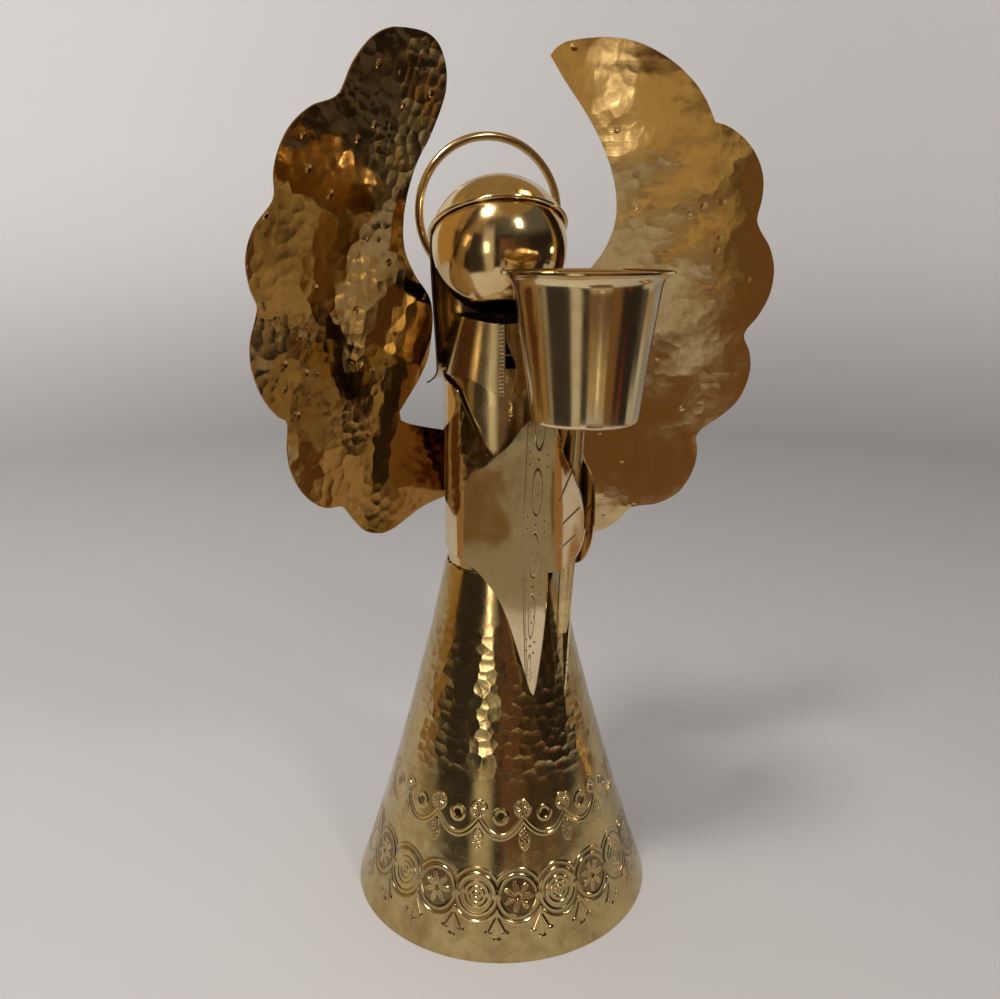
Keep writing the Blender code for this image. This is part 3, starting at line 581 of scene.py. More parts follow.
    height = b.add(lower, upper)
    b.plug(end["Height"], b.mul(height, 0.38))
    sunk = b.mul(b.span(far, 8.2, 7.2), b.mul(b.span(face, 0.35, 0.05), odd))
    sunk = b.add(sunk, b.span(b.length(rx, ry), 1.9, 1.2))
    b.plug(end["Groove"], b.sum("ADD", b.mul(gutter, 0.9), sunk, clamp=True))
    return group


def build_cuff_engraving():
    """Cut lines on the sleeve ends: 1 in a line. Reads the flat pattern in millimetres."""
    group, b, give, end = new_group("cuff_engraving", ["Line"], Flat=None)
    u, _, v = b.parts(give["Flat"])
    u = b.mul(b.size(u), 1000.0)
    v = b.mul(v, 1000.0)
    middle = b.add(87.2, b.mul(b.sub(v, 172.0), 0.045))
    half = b.span(v, 112.0, 176.0, 1.0, 6.2, soft=False)
    off = b.sub(u, middle)
    left = b.ridge(b.add(off, half), 0.30)
    inner = b.ridge(b.add(off, b.sub(half, 0.9)), 0.16)
    line = b.add(left, b.mul(inner, 0.7))
    pitch = 27.0
    s = b.mul(b.sub(v, 203.0), 1.0 / pitch)
    cell = b.mul(b.sub(s, b.sum("FLOOR", b.add(s, 0.5))), pitch)
    thin = b.sum("MINIMUM", b.mul(half, 0.42), 2.5)
    oval = b.length(b.sum("DIVIDE", off, thin), b.mul(cell, 1.0 / 9.5))
    line = b.add(line, b.mul(b.ridge(b.sub(oval, 1.0), 0.10), 0.9))
    core = b.length(off, b.mul(cell, 0.5))
    dots = b.mul(b.span(b.cells(give["Flat"], 900.0), 0.34, 0.20), b.span(core, 2.0, 1.3))
    line = b.add(line, dots)
    half_way = b.sub(13.5, b.size(cell))
    line = b.add(line, b.span(b.length(off, half_way), 0.75, 0.4))
    off_side = b.sub(b.size(off), b.mul(half, 0.7))
    off_cell = b.sub(b.size(cell), 11.0)
    line = b.add(line, b.span(b.length(off_side, off_cell), 0.6, 0.3))
    line = b.mul(line, b.span(b.size(off), b.add(half, 0.6), half))
    line = b.mul(line, b.span(u, 95.4, 94.6))
    for a, c in (
        ((102.1, 192.5), (112.2, 201.6)), ((100.6, 181.6), (110.2, 190.3)),
        ((100.1, 201.6), (107.0, 214.3)),
    ):
        line = b.add(line, b.ridge(b.stroke(u, v, a, c), 0.55))
    b.plug(end["Line"], b.sum("ADD", line, 0.0, clamp=True))
    return group


def build_collar_ticks():
    """Short punched ticks beside the slit. Reads the flat pattern."""
    group, b, give, end = new_group("collar_ticks", ["Line"], Flat=None)
    u, _, v = b.parts(give["Flat"])
    from_slit = b.mul(u, 1000.0)
    v = b.mul(v, 1000.0)
    s = b.sub(b.mul(v, 0.66), b.sum("FLOOR", b.mul(v, 0.66)))
    tick = b.ridge(b.sub(s, 0.5), 0.22)
    tick = b.mul(tick, b.mul(b.span(from_slit, 1.0, 1.2), b.span(from_slit, 3.0, 2.7)))
    b.plug(end["Line"], b.mul(tick, b.span(v, 266.8, 266.0)))
    return group


AGED_TONE = build_aged_tone()
HAMMER_MARKS = build_hammer_marks()
TURNING_MARKS = build_turning_marks()
POLISH_SCRATCHES = build_polish_scratches()
SKIRT_BANDS = build_skirt_bands()
CUFF_ENGRAVING = build_cuff_engraving()
COLLAR_TICKS = build_collar_ticks()


def new_paint(name):
    """A new material and the bench for its nodes."""
    mat = bpy.data.materials.new(name)
    mat.use_nodes = True
    return mat, Bench(mat.node_tree)


class Finish:
    """One brass finish: a metal shader with its tone and relief groups."""

    def __init__(self, name, age, rough, gold, brown, red=(0.56, 0.26, 0.12)):
        self.mat, self.b = new_paint(name)
        self.metal = self.mat.node_tree.nodes["Principled BSDF"]
        self.metal.inputs["Metallic"].default_value = 1.0
        self.mat.diffuse_color = (*gold, 1.0)
        self.where = self.b.put("ShaderNodeTexCoord").outputs["Object"]
        tone = self.use(
            AGED_TONE, Gold=(*gold, 1.0), Brown=(*brown, 1.0), Red=(*red, 1.0), Age=age, Rough=rough
        )
        self.color = tone.outputs["Color"]
        self.rough = tone.outputs["Roughness"]
        self.height = None

    def use(self, group, coords=None, socket="Where", **values):
        node = self.b.put("ShaderNodeGroup", node_tree=group)
        return self.b.fill(node, **{socket: coords or self.where}, **values)

    def raise_by(self, height):
        self.height = self.b.add(self.height, height) if self.height else height

    def scratched(self, amount):
        self.raise_by(self.use(POLISH_SCRATCHES, Amount=amount).outputs["Height"])

    def bowed(self, amount):
        """Slight hollows of a sheet bent by hand."""
        self.raise_by(self.b.mul(self.b.noise(self.where, 38.0, 2.0, 0.5), 0.8 * amount))

    def done(self):
        b = self.b
        b.plug(self.metal.inputs["Base Color"], self.color)
        b.plug(self.metal.inputs["Roughness"], self.rough)
        bump = b.fill(b.put("ShaderNodeBump"), Strength=1.0, Distance=MILLIMETRE, Height=self.height)
        b.plug(self.metal.inputs["Normal"], bump.outputs["Normal"])
        return self.mat


def flat_pattern(finish):
    node = finish.b.put("ShaderNodeAttribute", attribute_name="flat")
    return node.outputs["Vector"]


def skirt_finish():
    gold = (0.58, 0.445, 0.20)
    f = Finish("skirt_brass_hammered", 0.75, 0.12, gold, (0.34, 0.22, 0.09), (0.40, 0.19, 0.10))
    b = f.b
    bands = f.use(SKIRT_BANDS)
    z = b.parts(f.where)[2]
    dimpled = b.mul(b.span(z, 0.070, 0.082), b.span(z, 0.150, 0.118))
    dimpled = b.add(dimpled, 0.06)
    marks = f.use(HAMMER_MARKS, Amount=b.mul(dimpled, 0.9), Sway=0.25)
    f.raise_by(bands.outputs["Height"])
    f.raise_by(marks.outputs["Height"])
    f.scratched(0.8)
    f.color = b.blend(b.mul(bands.outputs["Groove"], 0.72), f.color, (0.13, 0.08, 0.04, 1.0))
    return f.done()


def wing_finish(name, amount, sway, nicks, rough, gold, brown):
    f = Finish(name, 0.5, rough, gold, brown, (0.46, 0.15, 0.055))
    marks = f.use(HAMMER_MARKS, Amount=amount, Sway=sway, Nicks=nicks)
    f.raise_by(marks.outputs["Height"])
    f.scratched(0.5)
    return f.done()


def robe_finish():
    gold = (0.78, 0.62, 0.38)
    f = Finish("robe_brass_engraved", 0.35, 0.06, gold, (0.58, 0.36, 0.18), (0.62, 0.30, 0.17))
    line = f.use(CUFF_ENGRAVING, flat_pattern(f), "Flat").outputs["Line"]
    f.color = f.b.blend(f.b.mul(line, 0.8), f.color, (0.16, 0.09, 0.04, 1.0))
    f.raise_by(f.b.mul(line, -0.12))
    f.bowed(0.4)
    f.scratched(0.7)
    return f.done()


def collar_finish():
    f = Finish("collar_brass_punched", 0.6, 0.2, (0.74, 0.58, 0.30), (0.50, 0.32, 0.14))
    line = f.use(COLLAR_TICKS, flat_pattern(f), "Flat").outputs["Line"]
    f.color = f.b.blend(f.b.mul(line, 0.5), f.color, (0.14, 0.08, 0.04, 1.0))
    f.raise_by(f.b.mul(line, -0.08))
    f.bowed(0.15)
    f.scratched(1.6)
    return f.done()


def spun_finish(name, age, rough, marks, scratches, gold, brown):
    f = Finish(name, age, rough, gold, brown)
    if marks:
        f.raise_by(f.use(TURNING_MARKS, Amount=marks).outputs["Height"])
    f.scratched(scratches)
    return f.done()


def skirt_radius(z):
    t = z / SKIRT_CONE_Z
    return SKIRT_FOOT_R - SKIRT_TAPER * t - SKIRT_HOLLOW * t * (1.0 - t)


BODICE_WAIST_R = skirt_radius(SKIRT_TOP_Z) - HEAVY_T - GAP
COLLAR_FOOT_R = BODICE_NECK_R + GAP + SHEET_T
ROBE_R = COLLAR_FOOT_R + GAP + SHEET_T * 0.5


def make_skirt(finish):
    rows = 80
    outer = [(skirt_radius(SKIRT_TOP_Z * i / rows), SKIRT_TOP_Z * i / rows) for i in range(rows + 1)]
    inner = [(r - HEAVY_T, z) for r, z in outer]
    bm = turned(outer + inner[::-1], 192, (AXIS_X, AXIS_Y))
    for v in bm.verts:
        x = v.co.x - AXIS_X
        y = v.co.y - AXIS_Y
        r = math.hypot(x, y)
        if v.co.z > SKIRT_TOP_Z - 0.0004:
            a = math.atan2(x, -y)
            v.co.z -= 0.00035 * (1.0 + math.sin(9.0 * a + 1.0) * math.sin(23.0 * a))
        mid = ease(v.co.z / 0.03) * ease((SKIRT_TOP_Z - v.co.z) / 0.03)
        push = 0.00022 * mid * wander(v.co.x, v.co.y, v.co.z)
        v.co.x += x / r * push
        v.co.y += y / r * push
    piece = lay_down("skirt_sheet", bm, finish, "skirt")
    worn_rim(piece)


def collar_radius(z):
    slope = (COLLAR_FOOT_R - COLLAR_TOP_R) / (COLLAR_TOP_Z - COLLAR_FOOT_Z)
    return COLLAR_FOOT_R - slope * (z - COLLAR_FOOT_Z)


def make_bodice(finish):
    def radius(z):
        if z <= SKIRT_TOP_Z:
            return BODICE_WAIST_R
        if z <= BODICE_NECK_Z:
            share = (z - SKIRT_TOP_Z) / (BODICE_NECK_Z - SKIRT_TOP_Z)
            return BODICE_WAIST_R + (BODICE_NECK_R - BODICE_WAIST_R) * share
        return min(BODICE_NECK_R, collar_radius(z) - SHEET_T - GAP)

    heights = [BODICE_FOOT_Z + BODICE_TALL * i / 44 for i in range(45)]
    outer = [(radius(z), z) for z in heights]
    inner = [(r - SHEET_T, z) for r, z in outer]
    bm = turned(outer + inner[::-1], 128, (AXIS_X, AXIS_Y))
    lay_down("bodice_tube", bm, finish, "bodice")


def make_collar(finish):
    arm = 0.022
    hem = [(2.4, 237.4), (9.5, 238.8), (16.0, 240.2), (22.6, 242.0), (34.0, 244.4)]
    hem += [(48.0, 244.9), (60.0, 244.9)]
    loop = []

    def mark(deg, height):
        loop.append((math.radians(deg) * arm * 1000.0, height))

    for deg, height in hem:
        mark(deg, height)
    for deg in range(72, 290, 12):
        mark(deg, 244.9)
    for deg, height in hem[::-1]:
        mark(360.0 - deg - (5.6 if deg < 3.0 else 0.0), height)
    mark(360.0 - 9.6, 249.8)
    mark(359.3, 260.2)
    mark(359.3, 266.7)
    for deg in range(348, 0, -12):
        mark(deg, 269.0 - 2.3 * (1.0 - ease(min(deg, 360 - deg) / 70.0)))
    mark(0.7, 266.7)
    mark(0.7, 260.2)
    bm = ruled_sheet(cut_line(loop, 0.0012), 0.0013)

    def place(u, v):
        a = u / arm + math.radians(COLLAR_TURN)
        r = collar_radius(v) - SHEET_T * 0.5
        return Vector((AXIS_X - r * math.sin(a), AXIS_Y - r * math.cos(a), v))

    bend(bm, place)
    thicken(bm, SHEET_T, lambda p: Vector((p.x - AXIS_X, p.y - AXIS_Y, 0.0)))
    piece = lay_down("collar_cone", bm, finish, "collar")
    worn_rim(piece)


def robe_line():
    """Plan line of the robe from the middle of the back along one side."""
    aim = (STEM_R + GAP + SHEET_T * 0.5 + SLEEVE_CLEAR, SLEEVE_AIM_Y)
    d = math.hypot(*aim)
    leave = math.pi - (math.acos(ROBE_R / d) + math.atan2(aim[0], aim[1]))
    free = ROBE_R * leave
    run = math.sqrt(d * d - ROBE_R * ROBE_R)
    step = 0.00025
    us = [0.0]
    xs = [0.0]
    ys = [ROBE_R]
    while us[-1] < SLEEVE_LONG:
        u = us[-1] + step * 0.5
        if u < free:
            b = u / ROBE_R
        else:
            t = ease((u - (free + run - HAND_BEND * 0.5)) / HAND_BEND)
            b = leave + (math.radians(HAND_TURN) - leave) * t
        xs.append(xs[-1] + math.cos(b) * step)
        ys.append(ys[-1] - math.sin(b) * step)
        us.append(us[-1] + step)
    return np.array(us), np.array(xs), np.array(ys)


def make_robe(finish):
    us, xs, ys = robe_line()
    loop = [(-12.0, 245.0), (12.0, 245.0)] + NEAR_SLEEVE
    loop += [(22.0, 169.0), (0.0, 169.2), (-22.0, 169.0)]
    loop += [(-p[0], p[1]) for p in FAR_SLEEVE[::-1]]
    bm = ruled_sheet(cut_line(loop, 0.0013), 0.0014)

    def place(u, v):
        a = abs(u)
        x = float(np.interp(a, us, xs))
        y = float(np.interp(a, us, ys))
        return Vector((AXIS_X - math.copysign(x, u), AXIS_Y + y, v))

    bend(bm, place)
    thicken(bm, SHEET_T, lambda p: Vector((p.x - AXIS_X, (p.y - AXIS_Y) * 0.2 + 0.001, 0.0)))
    piece = lay_down("robe_and_sleeves", bm, finish, "robe")
    worn_rim(piece)


def make_head(finish):
    start = math.asin(HEAD_HOLE_R / HEAD_R)

    def shell(r):
        turns = [start + (math.pi - start) * i / 60 for i in range(61)]
        line = [(r * math.sin(a), HEAD_Z - r * math.cos(a)) for a in turns]
        line[-1] = (0.0, line[-1][1])
        return line

    line = shell(HEAD_R - HEAVY_T)[::-1] + shell(HEAD_R)
    bm = turned(line, 120, (AXIS_X + HEAD_X, AXIS_Y), closed=False)
    lay_down("head_ball", bm, finish, "head", 60.0)


HAIR_R = HEAD_R + GAP + SHEET_T * 0.5


def veil_line(s):
    """Mid line of the veil, s from 0 at the head's centre height to 1 at the foot."""
    z = HEAD_Z - (HEAD_Z - HAIR_FOOT_Z) * s
    r = HAIR_R + (HAIR_FOOT_R - HAIR_R) * ease(s * 1.05)
    flip = max(0.0, (s - 0.88) / 0.12)
    return r + 0.0046 * flip * flip, z + 0.0012 * flip * flip


def make_hair(finish):
    turn = math.radians(HAIR_TURN)
    front = Vector((-math.sin(turn), -math.cos(turn), 0.0))
    side = Vector((-math.cos(turn), math.sin(turn), 0.0))
    centre = Vector((AXIS_X + HEAD_X, AXIS_Y, HEAD_Z))
    line = []
    for i in range(45):
        a = math.pi * 0.5 * i / 44
        line.append((HAIR_R * math.sin(a), HEAD_Z + HAIR_R * math.cos(a)))
    line[0] = (0.0, line[0][1])
    for i in range(1, 61):
        line.append(veil_line(i / 60.0))
    bm = turned(line, 144, (centre.x, centre.y), closed=False)
    edge = math.radians(HAIR_EDGE_ANGLE)
    rim_no = (Vector((0.0, 0.0, 1.0)) - front * HAIR_RIM_SLOPE).normalized()
    rim_co = centre + Vector((0.0, 0.0, HAIR_RIM_Z))
    cuts = []
    for way in (-1.0, 1.0):
        cut = front * math.cos(edge) + side * math.sin(edge) * way
        cuts.append((centre, Vector((-cut.y, cut.x, 0.0))))
    for at, across in cuts + [(rim_co, rim_no)]:
        whole = bm.verts[:] + bm.edges[:] + bm.faces[:]
        bmesh.ops.bisect_plane(bm, geom=whole, dist=1e-6, plane_co=at, plane_no=across)
    gone = []
    for f in bm.faces:
        p = f.calc_center_median()
        flat = Vector((p.x - centre.x, p.y - centre.y, 0.0))
        ahead = flat.length > 1e-6 and flat.angle(front) < edge
        if ahead and (p - rim_co).dot(rim_no) < 0.0:
            gone.append(f)
    bmesh.ops.delete(bm, geom=gone, context="FACES")
    for v in bm.verts:
        s = (HEAD_Z - v.co.z) / (HEAD_Z - HAIR_FOOT_Z)
        if s > 0.0:
            v.co += front * 0.0010 * s
    thicken(bm, SHEET_T, lambda p: Vector((p.x - centre.x, p.y - centre.y, max(p.z - HEAD_Z, 0.0))))

    # rim bead: a wire along the cut of the cap
    high = rim_co.z - centre.z
    drop = high * rim_no.z
    hub = centre + rim_no * drop
    reach = HAIR_R - SHEET_T * 0.5 + HAIR_BEAD_R
    ring = math.sqrt(reach * reach - drop * drop)
    wire = bmesh.new()
    fore = (front - rim_no * front.dot(rim_no)).normalized()
    wire_end(wire, hub, fore, rim_no, ring, HAIR_BEAD_R, 14)
    half = edge * 1.06
    bmesh.ops.rotate(wire, cent=hub, matrix=Matrix.Rotation(-half, 3, rim_no), verts=wire.verts[:])
    swing(wire, hub, rim_no, 2.0 * half, 110)
    bmesh.ops.holes_fill(wire, edges=[e for e in wire.edges if e.is_boundary], sides=20)
    bmesh.ops.recalc_face_normals(wire, faces=wire.faces[:])
    scrap = bpy.data.meshes.new("rim_wire")
    wire.to_mesh(scrap)
    wire.free()
    bm.from_mesh(scrap)
    bpy.data.meshes.remove(scrap)
    piece = lay_down("hair_and_veil", bm, finish, "hair")
    worn_rim(piece, 0.00012)


def veil_outer(z):
    """Radius of the veil's outer face at a height."""
    nearest = min((veil_line(i / 100.0) for i in range(101)), key=lambda p: abs(p[1] - z))
    return nearest[0] + SHEET_T * 0.5


def make_halo(finish):
    turn = math.radians(HALO_TURN)
    back = Vector((math.sin(turn), math.cos(turn), 0.0))
    lat = Vector((math.cos(turn), -math.sin(turn), 0.0))
    dist = veil_outer(HALO_Z - HALO_R) + GAP + HALO_WIRE_R - 0.00006
    centre = Vector((AXIS_X + HEAD_X, AXIS_Y, HALO_Z)) + back * dist + lat * HALO_SIDE
    bm = bmesh.new()
    wire_end(bm, centre, lat, back, HALO_R, HALO_WIRE_R, 20)
    swing(bm, centre, back, FULL_TURN, 160, joined=True)
    lay_down("halo_ring", bm, finish, "halo", 60.0)


def wing_forward(s, z):
    """How far the wing sheet stands in front of the skirt's axis, all in mm."""
    straight = -WING_SET + WING_SWEEP * (s - WING_SET)
    root = -(ROBE_R * 1000.0 + SHEET_T * 500.0 + GAP * 1000.0 + HEAVY_T * 500.0)
    join = -WING_SET + WING_SWEEP * (WING_FREE - WING_SET)
    rise = WING_FREE - WING_TAB
    t = min(max((s - WING_TAB) / rise, 0.0), 1.0)
    near = (2 * t ** 3 - 3 * t ** 2 + 1) * root
    near += (-2 * t ** 3 + 3 * t ** 2) * join
    near += (t ** 3 - t ** 2) * rise * WING_SWEEP
    if s >= WING_FREE:
        near = straight
    high = ease((z - WING_NOTCH_Z) / 40.0)
    base = near * (1.0 - high) + straight * high
    weight = 1.0 - (1.0 - ease((s - WING_ROOT) / (WING_FREE - WING_ROOT))) * (1.0 - high)
    up = z - WING_WAIST_Z
    return base + weight * (WING_LEAN * up + WING_CURL * 0.001 * max(up, 0.0) ** 2)


def make_wing(name, outline, side, finish, node, seed, wave):
    bm = ruled_sheet(cut_line(outline, 0.0012), 0.0013)

    def place(u, v):
        f = wing_forward(u * 1000.0, v * 1000.0) * 0.001
        free = ease((u - 0.012) / 0.03)
        f += wave * free * wander(u, 0.0, v, seed)
        return Vector((AXIS_X - side * u, AXIS_Y - f, v))

    bend(bm, place)
    thicken(bm, HEAVY_T, lambda p: Vector((0.0, 1.0, 0.0)))
    piece = lay_down(name, bm, finish, node)
    worn_rim(piece)


def make_cup(finish):
    b = CUP_BASE_Z
    t = HEAVY_T
    r0 = CUP_FOOT_R
    r1 = CUP_MOUTH_R
    top = b + CUP_TALL
    foot = [
        (0.0, b), (r0 - 0.0030, b), (r0 - 0.0012, b + 0.0001), (r0 - 0.0002, b + 0.0008),
        (r0 + 0.0001, b + 0.0018),
    ]
    wall = [
        (r0 + 0.0001, b + 0.0018), (r0 + 0.0006, b + 0.0050), (r0 + 0.0036, b + 0.0265),
        (r1 - 0.0001, top - 0.0072), (r1 + 0.0007, top - 0.0040), (r1 + 0.0023, top - 0.0018),
        (CUP_LIP_R, top - 0.0008),
    ]
    back = [
        (CUP_LIP_R - 0.0001, top), (r1 + 0.0019, top - 0.0010), (r1 - 0.0001, top - 0.0034),
        (r1 - t - 0.0002, top - 0.0070), (r0 + 0.0036 - t, b + 0.0265), (r0 + 0.0006 - t, b + 0.0052),
        (r0 - t, b + 0.0026), (r0 - t - 0.0010, b + t + 0.0004), (r0 - t - 0.0030, b + t), (0.0, b + t),
    ]
    line = drawn_profile(foot, 0.0005)[:-1]
    line += drawn_profile(wall, 0.0012) + drawn_profile(back, 0.0012)
    bm = turned(line, 144, (AXIS_X + CUP_X, AXIS_Y + CUP_Y), closed=False)
    lay_down("candle_cup_bowl", bm, finish, "candle_cup", 50.0)


def make_stem(finish):
    top = CUP_BASE_Z - GAP
    lean = math.tan(math.radians(STEM_LEAN))
    taper = [(0.0, 0.62), (0.02, 0.72), (0.18, 0.93), (0.34, 1.0), (0.62, 1.0), (0.85, 0.88)]
    taper.append((1.0, 0.80))
    wall = [(STEM_R * k, STEM_FOOT_Z + (top - STEM_FOOT_Z) * t) for t, k in taper]
    line = [(0.0, STEM_FOOT_Z)] + drawn_profile(wall, 0.003) + [(0.0, top)]
    bm = turned(line, 32, (AXIS_X, AXIS_Y), closed=False)
    for v in bm.verts:
        v.co.y += STEM_MID_Y - (v.co.z - STEM_MID_Z) * lean
    lay_down("stem_rod", bm, finish, "stem", 40.0)


make_skirt(skirt_finish())
make_bodice(spun_finish(
    "bodice_brass_polished", 0.6, 0.18, 0.0, 1.2, (0.76, 0.60, 0.30), (0.52, 0.34, 0.13)
))
make_collar(collar_finish())
make_robe(robe_finish())
make_head(spun_finish(
    "head_brass_mirror", 0.45, 0.09, 0.25, 0.5, (0.76, 0.57, 0.28), (0.55, 0.34, 0.13)
))
make_hair(spun_finish(
    "hair_brass_mirror", 0.4, 0.10, 0.0, 0.7, (0.77, 0.62, 0.34), (0.58, 0.40, 0.18)
))
make_halo(spun_finish(
    "halo_brass_wire", 0.6, 0.14, 0.0, 0.6, (0.72, 0.55, 0.28), (0.46, 0.28, 0.11)
))
make_wing("left_wing_sheet", LEFT_WING, -1.0, wing_finish(
    "left_wing_brass_hammered", 0.06, 0.2, 0.12, 0.05, (0.66, 0.49, 0.24), (0.44, 0.27, 0.11)
), "left_wing", 0.6, 0.00028)
make_wing("right_wing_sheet", RIGHT_WING, 1.0, wing_finish(
    "right_wing_brass_hammered", 0.26, 0.4, 1.0, 0.05, (0.48, 0.32, 0.135), (0.32, 0.18, 0.06)
), "right_wing", 2.3, 0.00055)
make_cup(spun_finish(
    "cup_brass_spun", 0.35, 0.13, 1.0, 0.6, (0.77, 0.62, 0.36), (0.55, 0.38, 0.18)
))
make_stem(spun_finish(
    "stem_brass_rod", 0.8, 0.24, 0.0, 1.5, (0.72, 0.54, 0.26), (0.44, 0.28, 0.12)
))


# Degrees from the angel's front to the side the camera stands on.
CAMERA_SIDE = 28.0
BODY_MIDDLE = Vector((0.0, 0.0, 0.19))


def paper_with_painted_shade():
    mat, b = new_paint("paper_sweep_painted_shade")
    face = mat.node_tree.nodes["Principled BSDF"]
    where = b.put("ShaderNodeTexCoord").outputs["Object"]
    x, y, z = b.parts(where)
    # Painted shade: the one paper is darker on the floor than on the wall, and darkens towards +X on
    # both, as the light falls off across the sweep.
    floor = b.blend(b.span(x, -0.5, 0.5), (0.38, 0.37, 0.367, 1.0), (0.255, 0.247, 0.243, 1.0))
    wall = b.blend(b.span(x, -0.3, 1.3), (0.93, 0.915, 0.90, 1.0), (0.68, 0.66, 0.645, 1.0))
    tone = b.blend(b.span(z, -0.14, 0.46), floor, wall)
    b.plug(face.inputs["Base Color"], tone)
    face.inputs["Roughness"].default_value = 0.85
    return mat


def make_sweep():
    """Paper sweep round the object: floor, curve and wall."""
    line = [(r, 0.0) for r in (0.0, 0.3, 0.6, 0.9, 1.15)]
    for i in range(1, 17):
        a = 0.5 * math.pi * i / 16
        line.append((1.15 + 0.40 * math.sin(a), 0.40 * (1.0 - math.cos(a))))
    line += [(1.55, 0.8), (1.55, 1.3)]
    bm = turned(line, 96, (0.0, 0.0), closed=False)
    bmesh.ops.reverse_faces(bm, faces=bm.faces[:])
    sweep = set_out("paper_sweep", bm, paper_with_painted_shade())


def soft_box(name, at, size, watts, tint):
    light = bpy.data.lights.new(name, "AREA")
    light.shape = "RECTANGLE"
    light.size = size[0]
    light.size_y = size[1]
    light.energy = watts
    light.color = tint
    lamp = bpy.data.objects.new(name, light)
    lamp.location = at
    lamp.rotation_euler = (BODY_MIDDLE - Vector(at)).to_track_quat("-Z", "Y").to_euler()
    bpy.context.scene.collection.objects.link(lamp)


def from_camera(azimuth, elevation, distance):
    """A place round the object; azimuth 0 is the camera's side, positive to its right."""
    a = math.radians(azimuth - CAMERA_SIDE)
    e = math.radians(elevation)
    return (
        AXIS_X + distance * math.sin(a) * math.cos(e),
        AXIS_Y - distance * math.cos(a) * math.cos(e),
        0.2 + distance * math.sin(e),
    )


def swept_card(name, line, first, last, steps, mat):
    """A card bent round the object between two bearings; it shows only in the polished metal."""
    bm = bmesh.new()
    start = math.radians(first - CAMERA_SIDE)
    x = math.sin(start)
    y = math.cos(start)
    verts = [bm.verts.new((AXIS_X + r * x, AXIS_Y - r * y, z)) for r, z in line]
    for a, b in zip(verts, verts[1:]):
        bm.edges.new((a, b))
    swing(bm, (AXIS_X, AXIS_Y, 0.0), UPRIGHT, math.radians(last - first), steps)
    card = set_out(name, bm, mat)
    card.visible_camera = False
    card.visible_diffuse = False
    card.visible_shadow = False


def round_about(b, tear):
    """A card's place, its bearing from the camera's side in degrees, reach from the axis and height."""
    where = b.put("ShaderNodeTexCoord").outputs["Object"]
    x, y, z = b.parts(b.shifted(where, move=(-AXIS_X, -AXIS_Y, 0.0)))
    ragged = b.sub(b.noise(where, 9.0, 3.0, 0.5, 0.3), 0.5)
    shaky = b.sub(b.noise(b.shifted(where, move=(0.7, 0.3, 0.9)), 13.0, 2.5, 0.5, 0.3), 0.5)
    turn = b.mul(b.sum("ARCTAN2", x, b.mul(y, -1.0)), 180.0 / math.pi)
    bearing = b.add(b.add(turn, CAMERA_SIDE), b.mul(ragged, 60.0 * tear))
    return where, bearing, b.add(b.length(x, y), b.mul(shaky, tear)), z


def patched(b, tone, across, along, patches):
    """Lay oblong patches on a card; each is (middle and middle, half and half, edge, colour)."""
    for mid_a, mid_b, half_a, half_b, edge, colour in patches:
        side = b.mul(b.size(b.sub(across, mid_a)), 1.0 / half_a)
        end = b.mul(b.size(b.sub(along, mid_b)), 1.0 / half_b)
        tone = b.blend(b.span(b.more(side, end), 1.0 + edge, 1.0 - edge), tone, (*colour, 1.0))
    return tone


def glowing(mat, b, tone, shown=None):
    """Make a card shine with its own tone, and be clear where shown is 0."""
    glow = b.put("ShaderNodeEmission")
    b.plug(glow.inputs["Color"], tone)
    end = mat.node_tree.nodes["Material Output"]
    mat.node_tree.nodes.remove(mat.node_tree.nodes["Principled BSDF"])
    mat.cycles.emission_sampling = "NONE"
    if shown is None:
        b.plug(end.inputs["Surface"], glow.outputs[0])
        return mat
    mix = b.put("ShaderNodeMixShader")
    b.plug(mix.inputs[0], shown)
    b.plug(mix.inputs[1], b.put("ShaderNodeBsdfTransparent").outputs[0])
    b.plug(mix.inputs[2], glow.outputs[0])
    b.plug(end.inputs["Surface"], mix.outputs[0])
    return mat


NIGHT = (0.021, 0.017, 0.015)
DUSK = (0.038, 0.030, 0.026)
OAK = (0.17, 0.085, 0.035)
TEAK = (0.30, 0.16, 0.06)
RUSSET = (0.16, 0.092, 0.036)
SAND = (0.27, 0.235, 0.16)
BRICK = (0.20, 0.040, 0.016)
AMBER = (0.46, 0.33, 0.15)
LINEN = (0.46, 0.44, 0.40)
SLATE = (0.12, 0.10, 0.10)
# Tones brighter than white for small glowing spots on the floor card: painted glints, set where the
# wings reflect that floor.
LAMPLIGHT = (4.0, 3.7, 3.1)
PAINTED_GLINT = (3.6, 2.5, 1.1)


def room_wall():
    """Dark room in front of the paper, in upright strips: door frames, curtains, a window's glow."""
    mat, b = new_paint("dim_room_wall")
    _, bearing, reach, z = round_about(b, 0.06)
    rise = b.mul(b.sum("ARCTAN2", b.sub(z, 0.25), reach), 180.0 / math.pi)
    tone = b.blend(b.span(rise, 26.0, 62.0), (*NIGHT, 1.0), (0.27, 0.175, 0.075, 1.0))
    tone = patched(b, tone, bearing, rise, [
        (-107.0, 0.0, 25.0, 80.0, 0.03, (0.42, 0.25, 0.085)),
        (109.0, 0.0, 8.0, 40.0, 0.05, (0.34, 0.20, 0.07)),
        (-56.0, 44.0, 28.0, 22.0, 0.3, (0.33, 0.21, 0.10)),
        (52.0, 40.0, 52.0, 18.0, 0.4, (0.12, 0.11, 0.11)), (-57.0, -8.0, 26.0, 30.0, 0.06, DUSK),
        (14.0, -8.0, 14.0, 24.0, 0.12, (0.12, 0.062, 0.040)),
        (40.0, -8.0, 9.0, 26.0, 0.1, (0.055, 0.036, 0.026)),
        (7.0, -2.0, 6.0, 14.0, 0.5, (0.17, 0.075, 0.05)),
        (-18.0, 2.0, 9.0, 30.0, 0.35, (0.50, 0.45, 0.36)),
    ])
    return glowing(mat, b, tone)


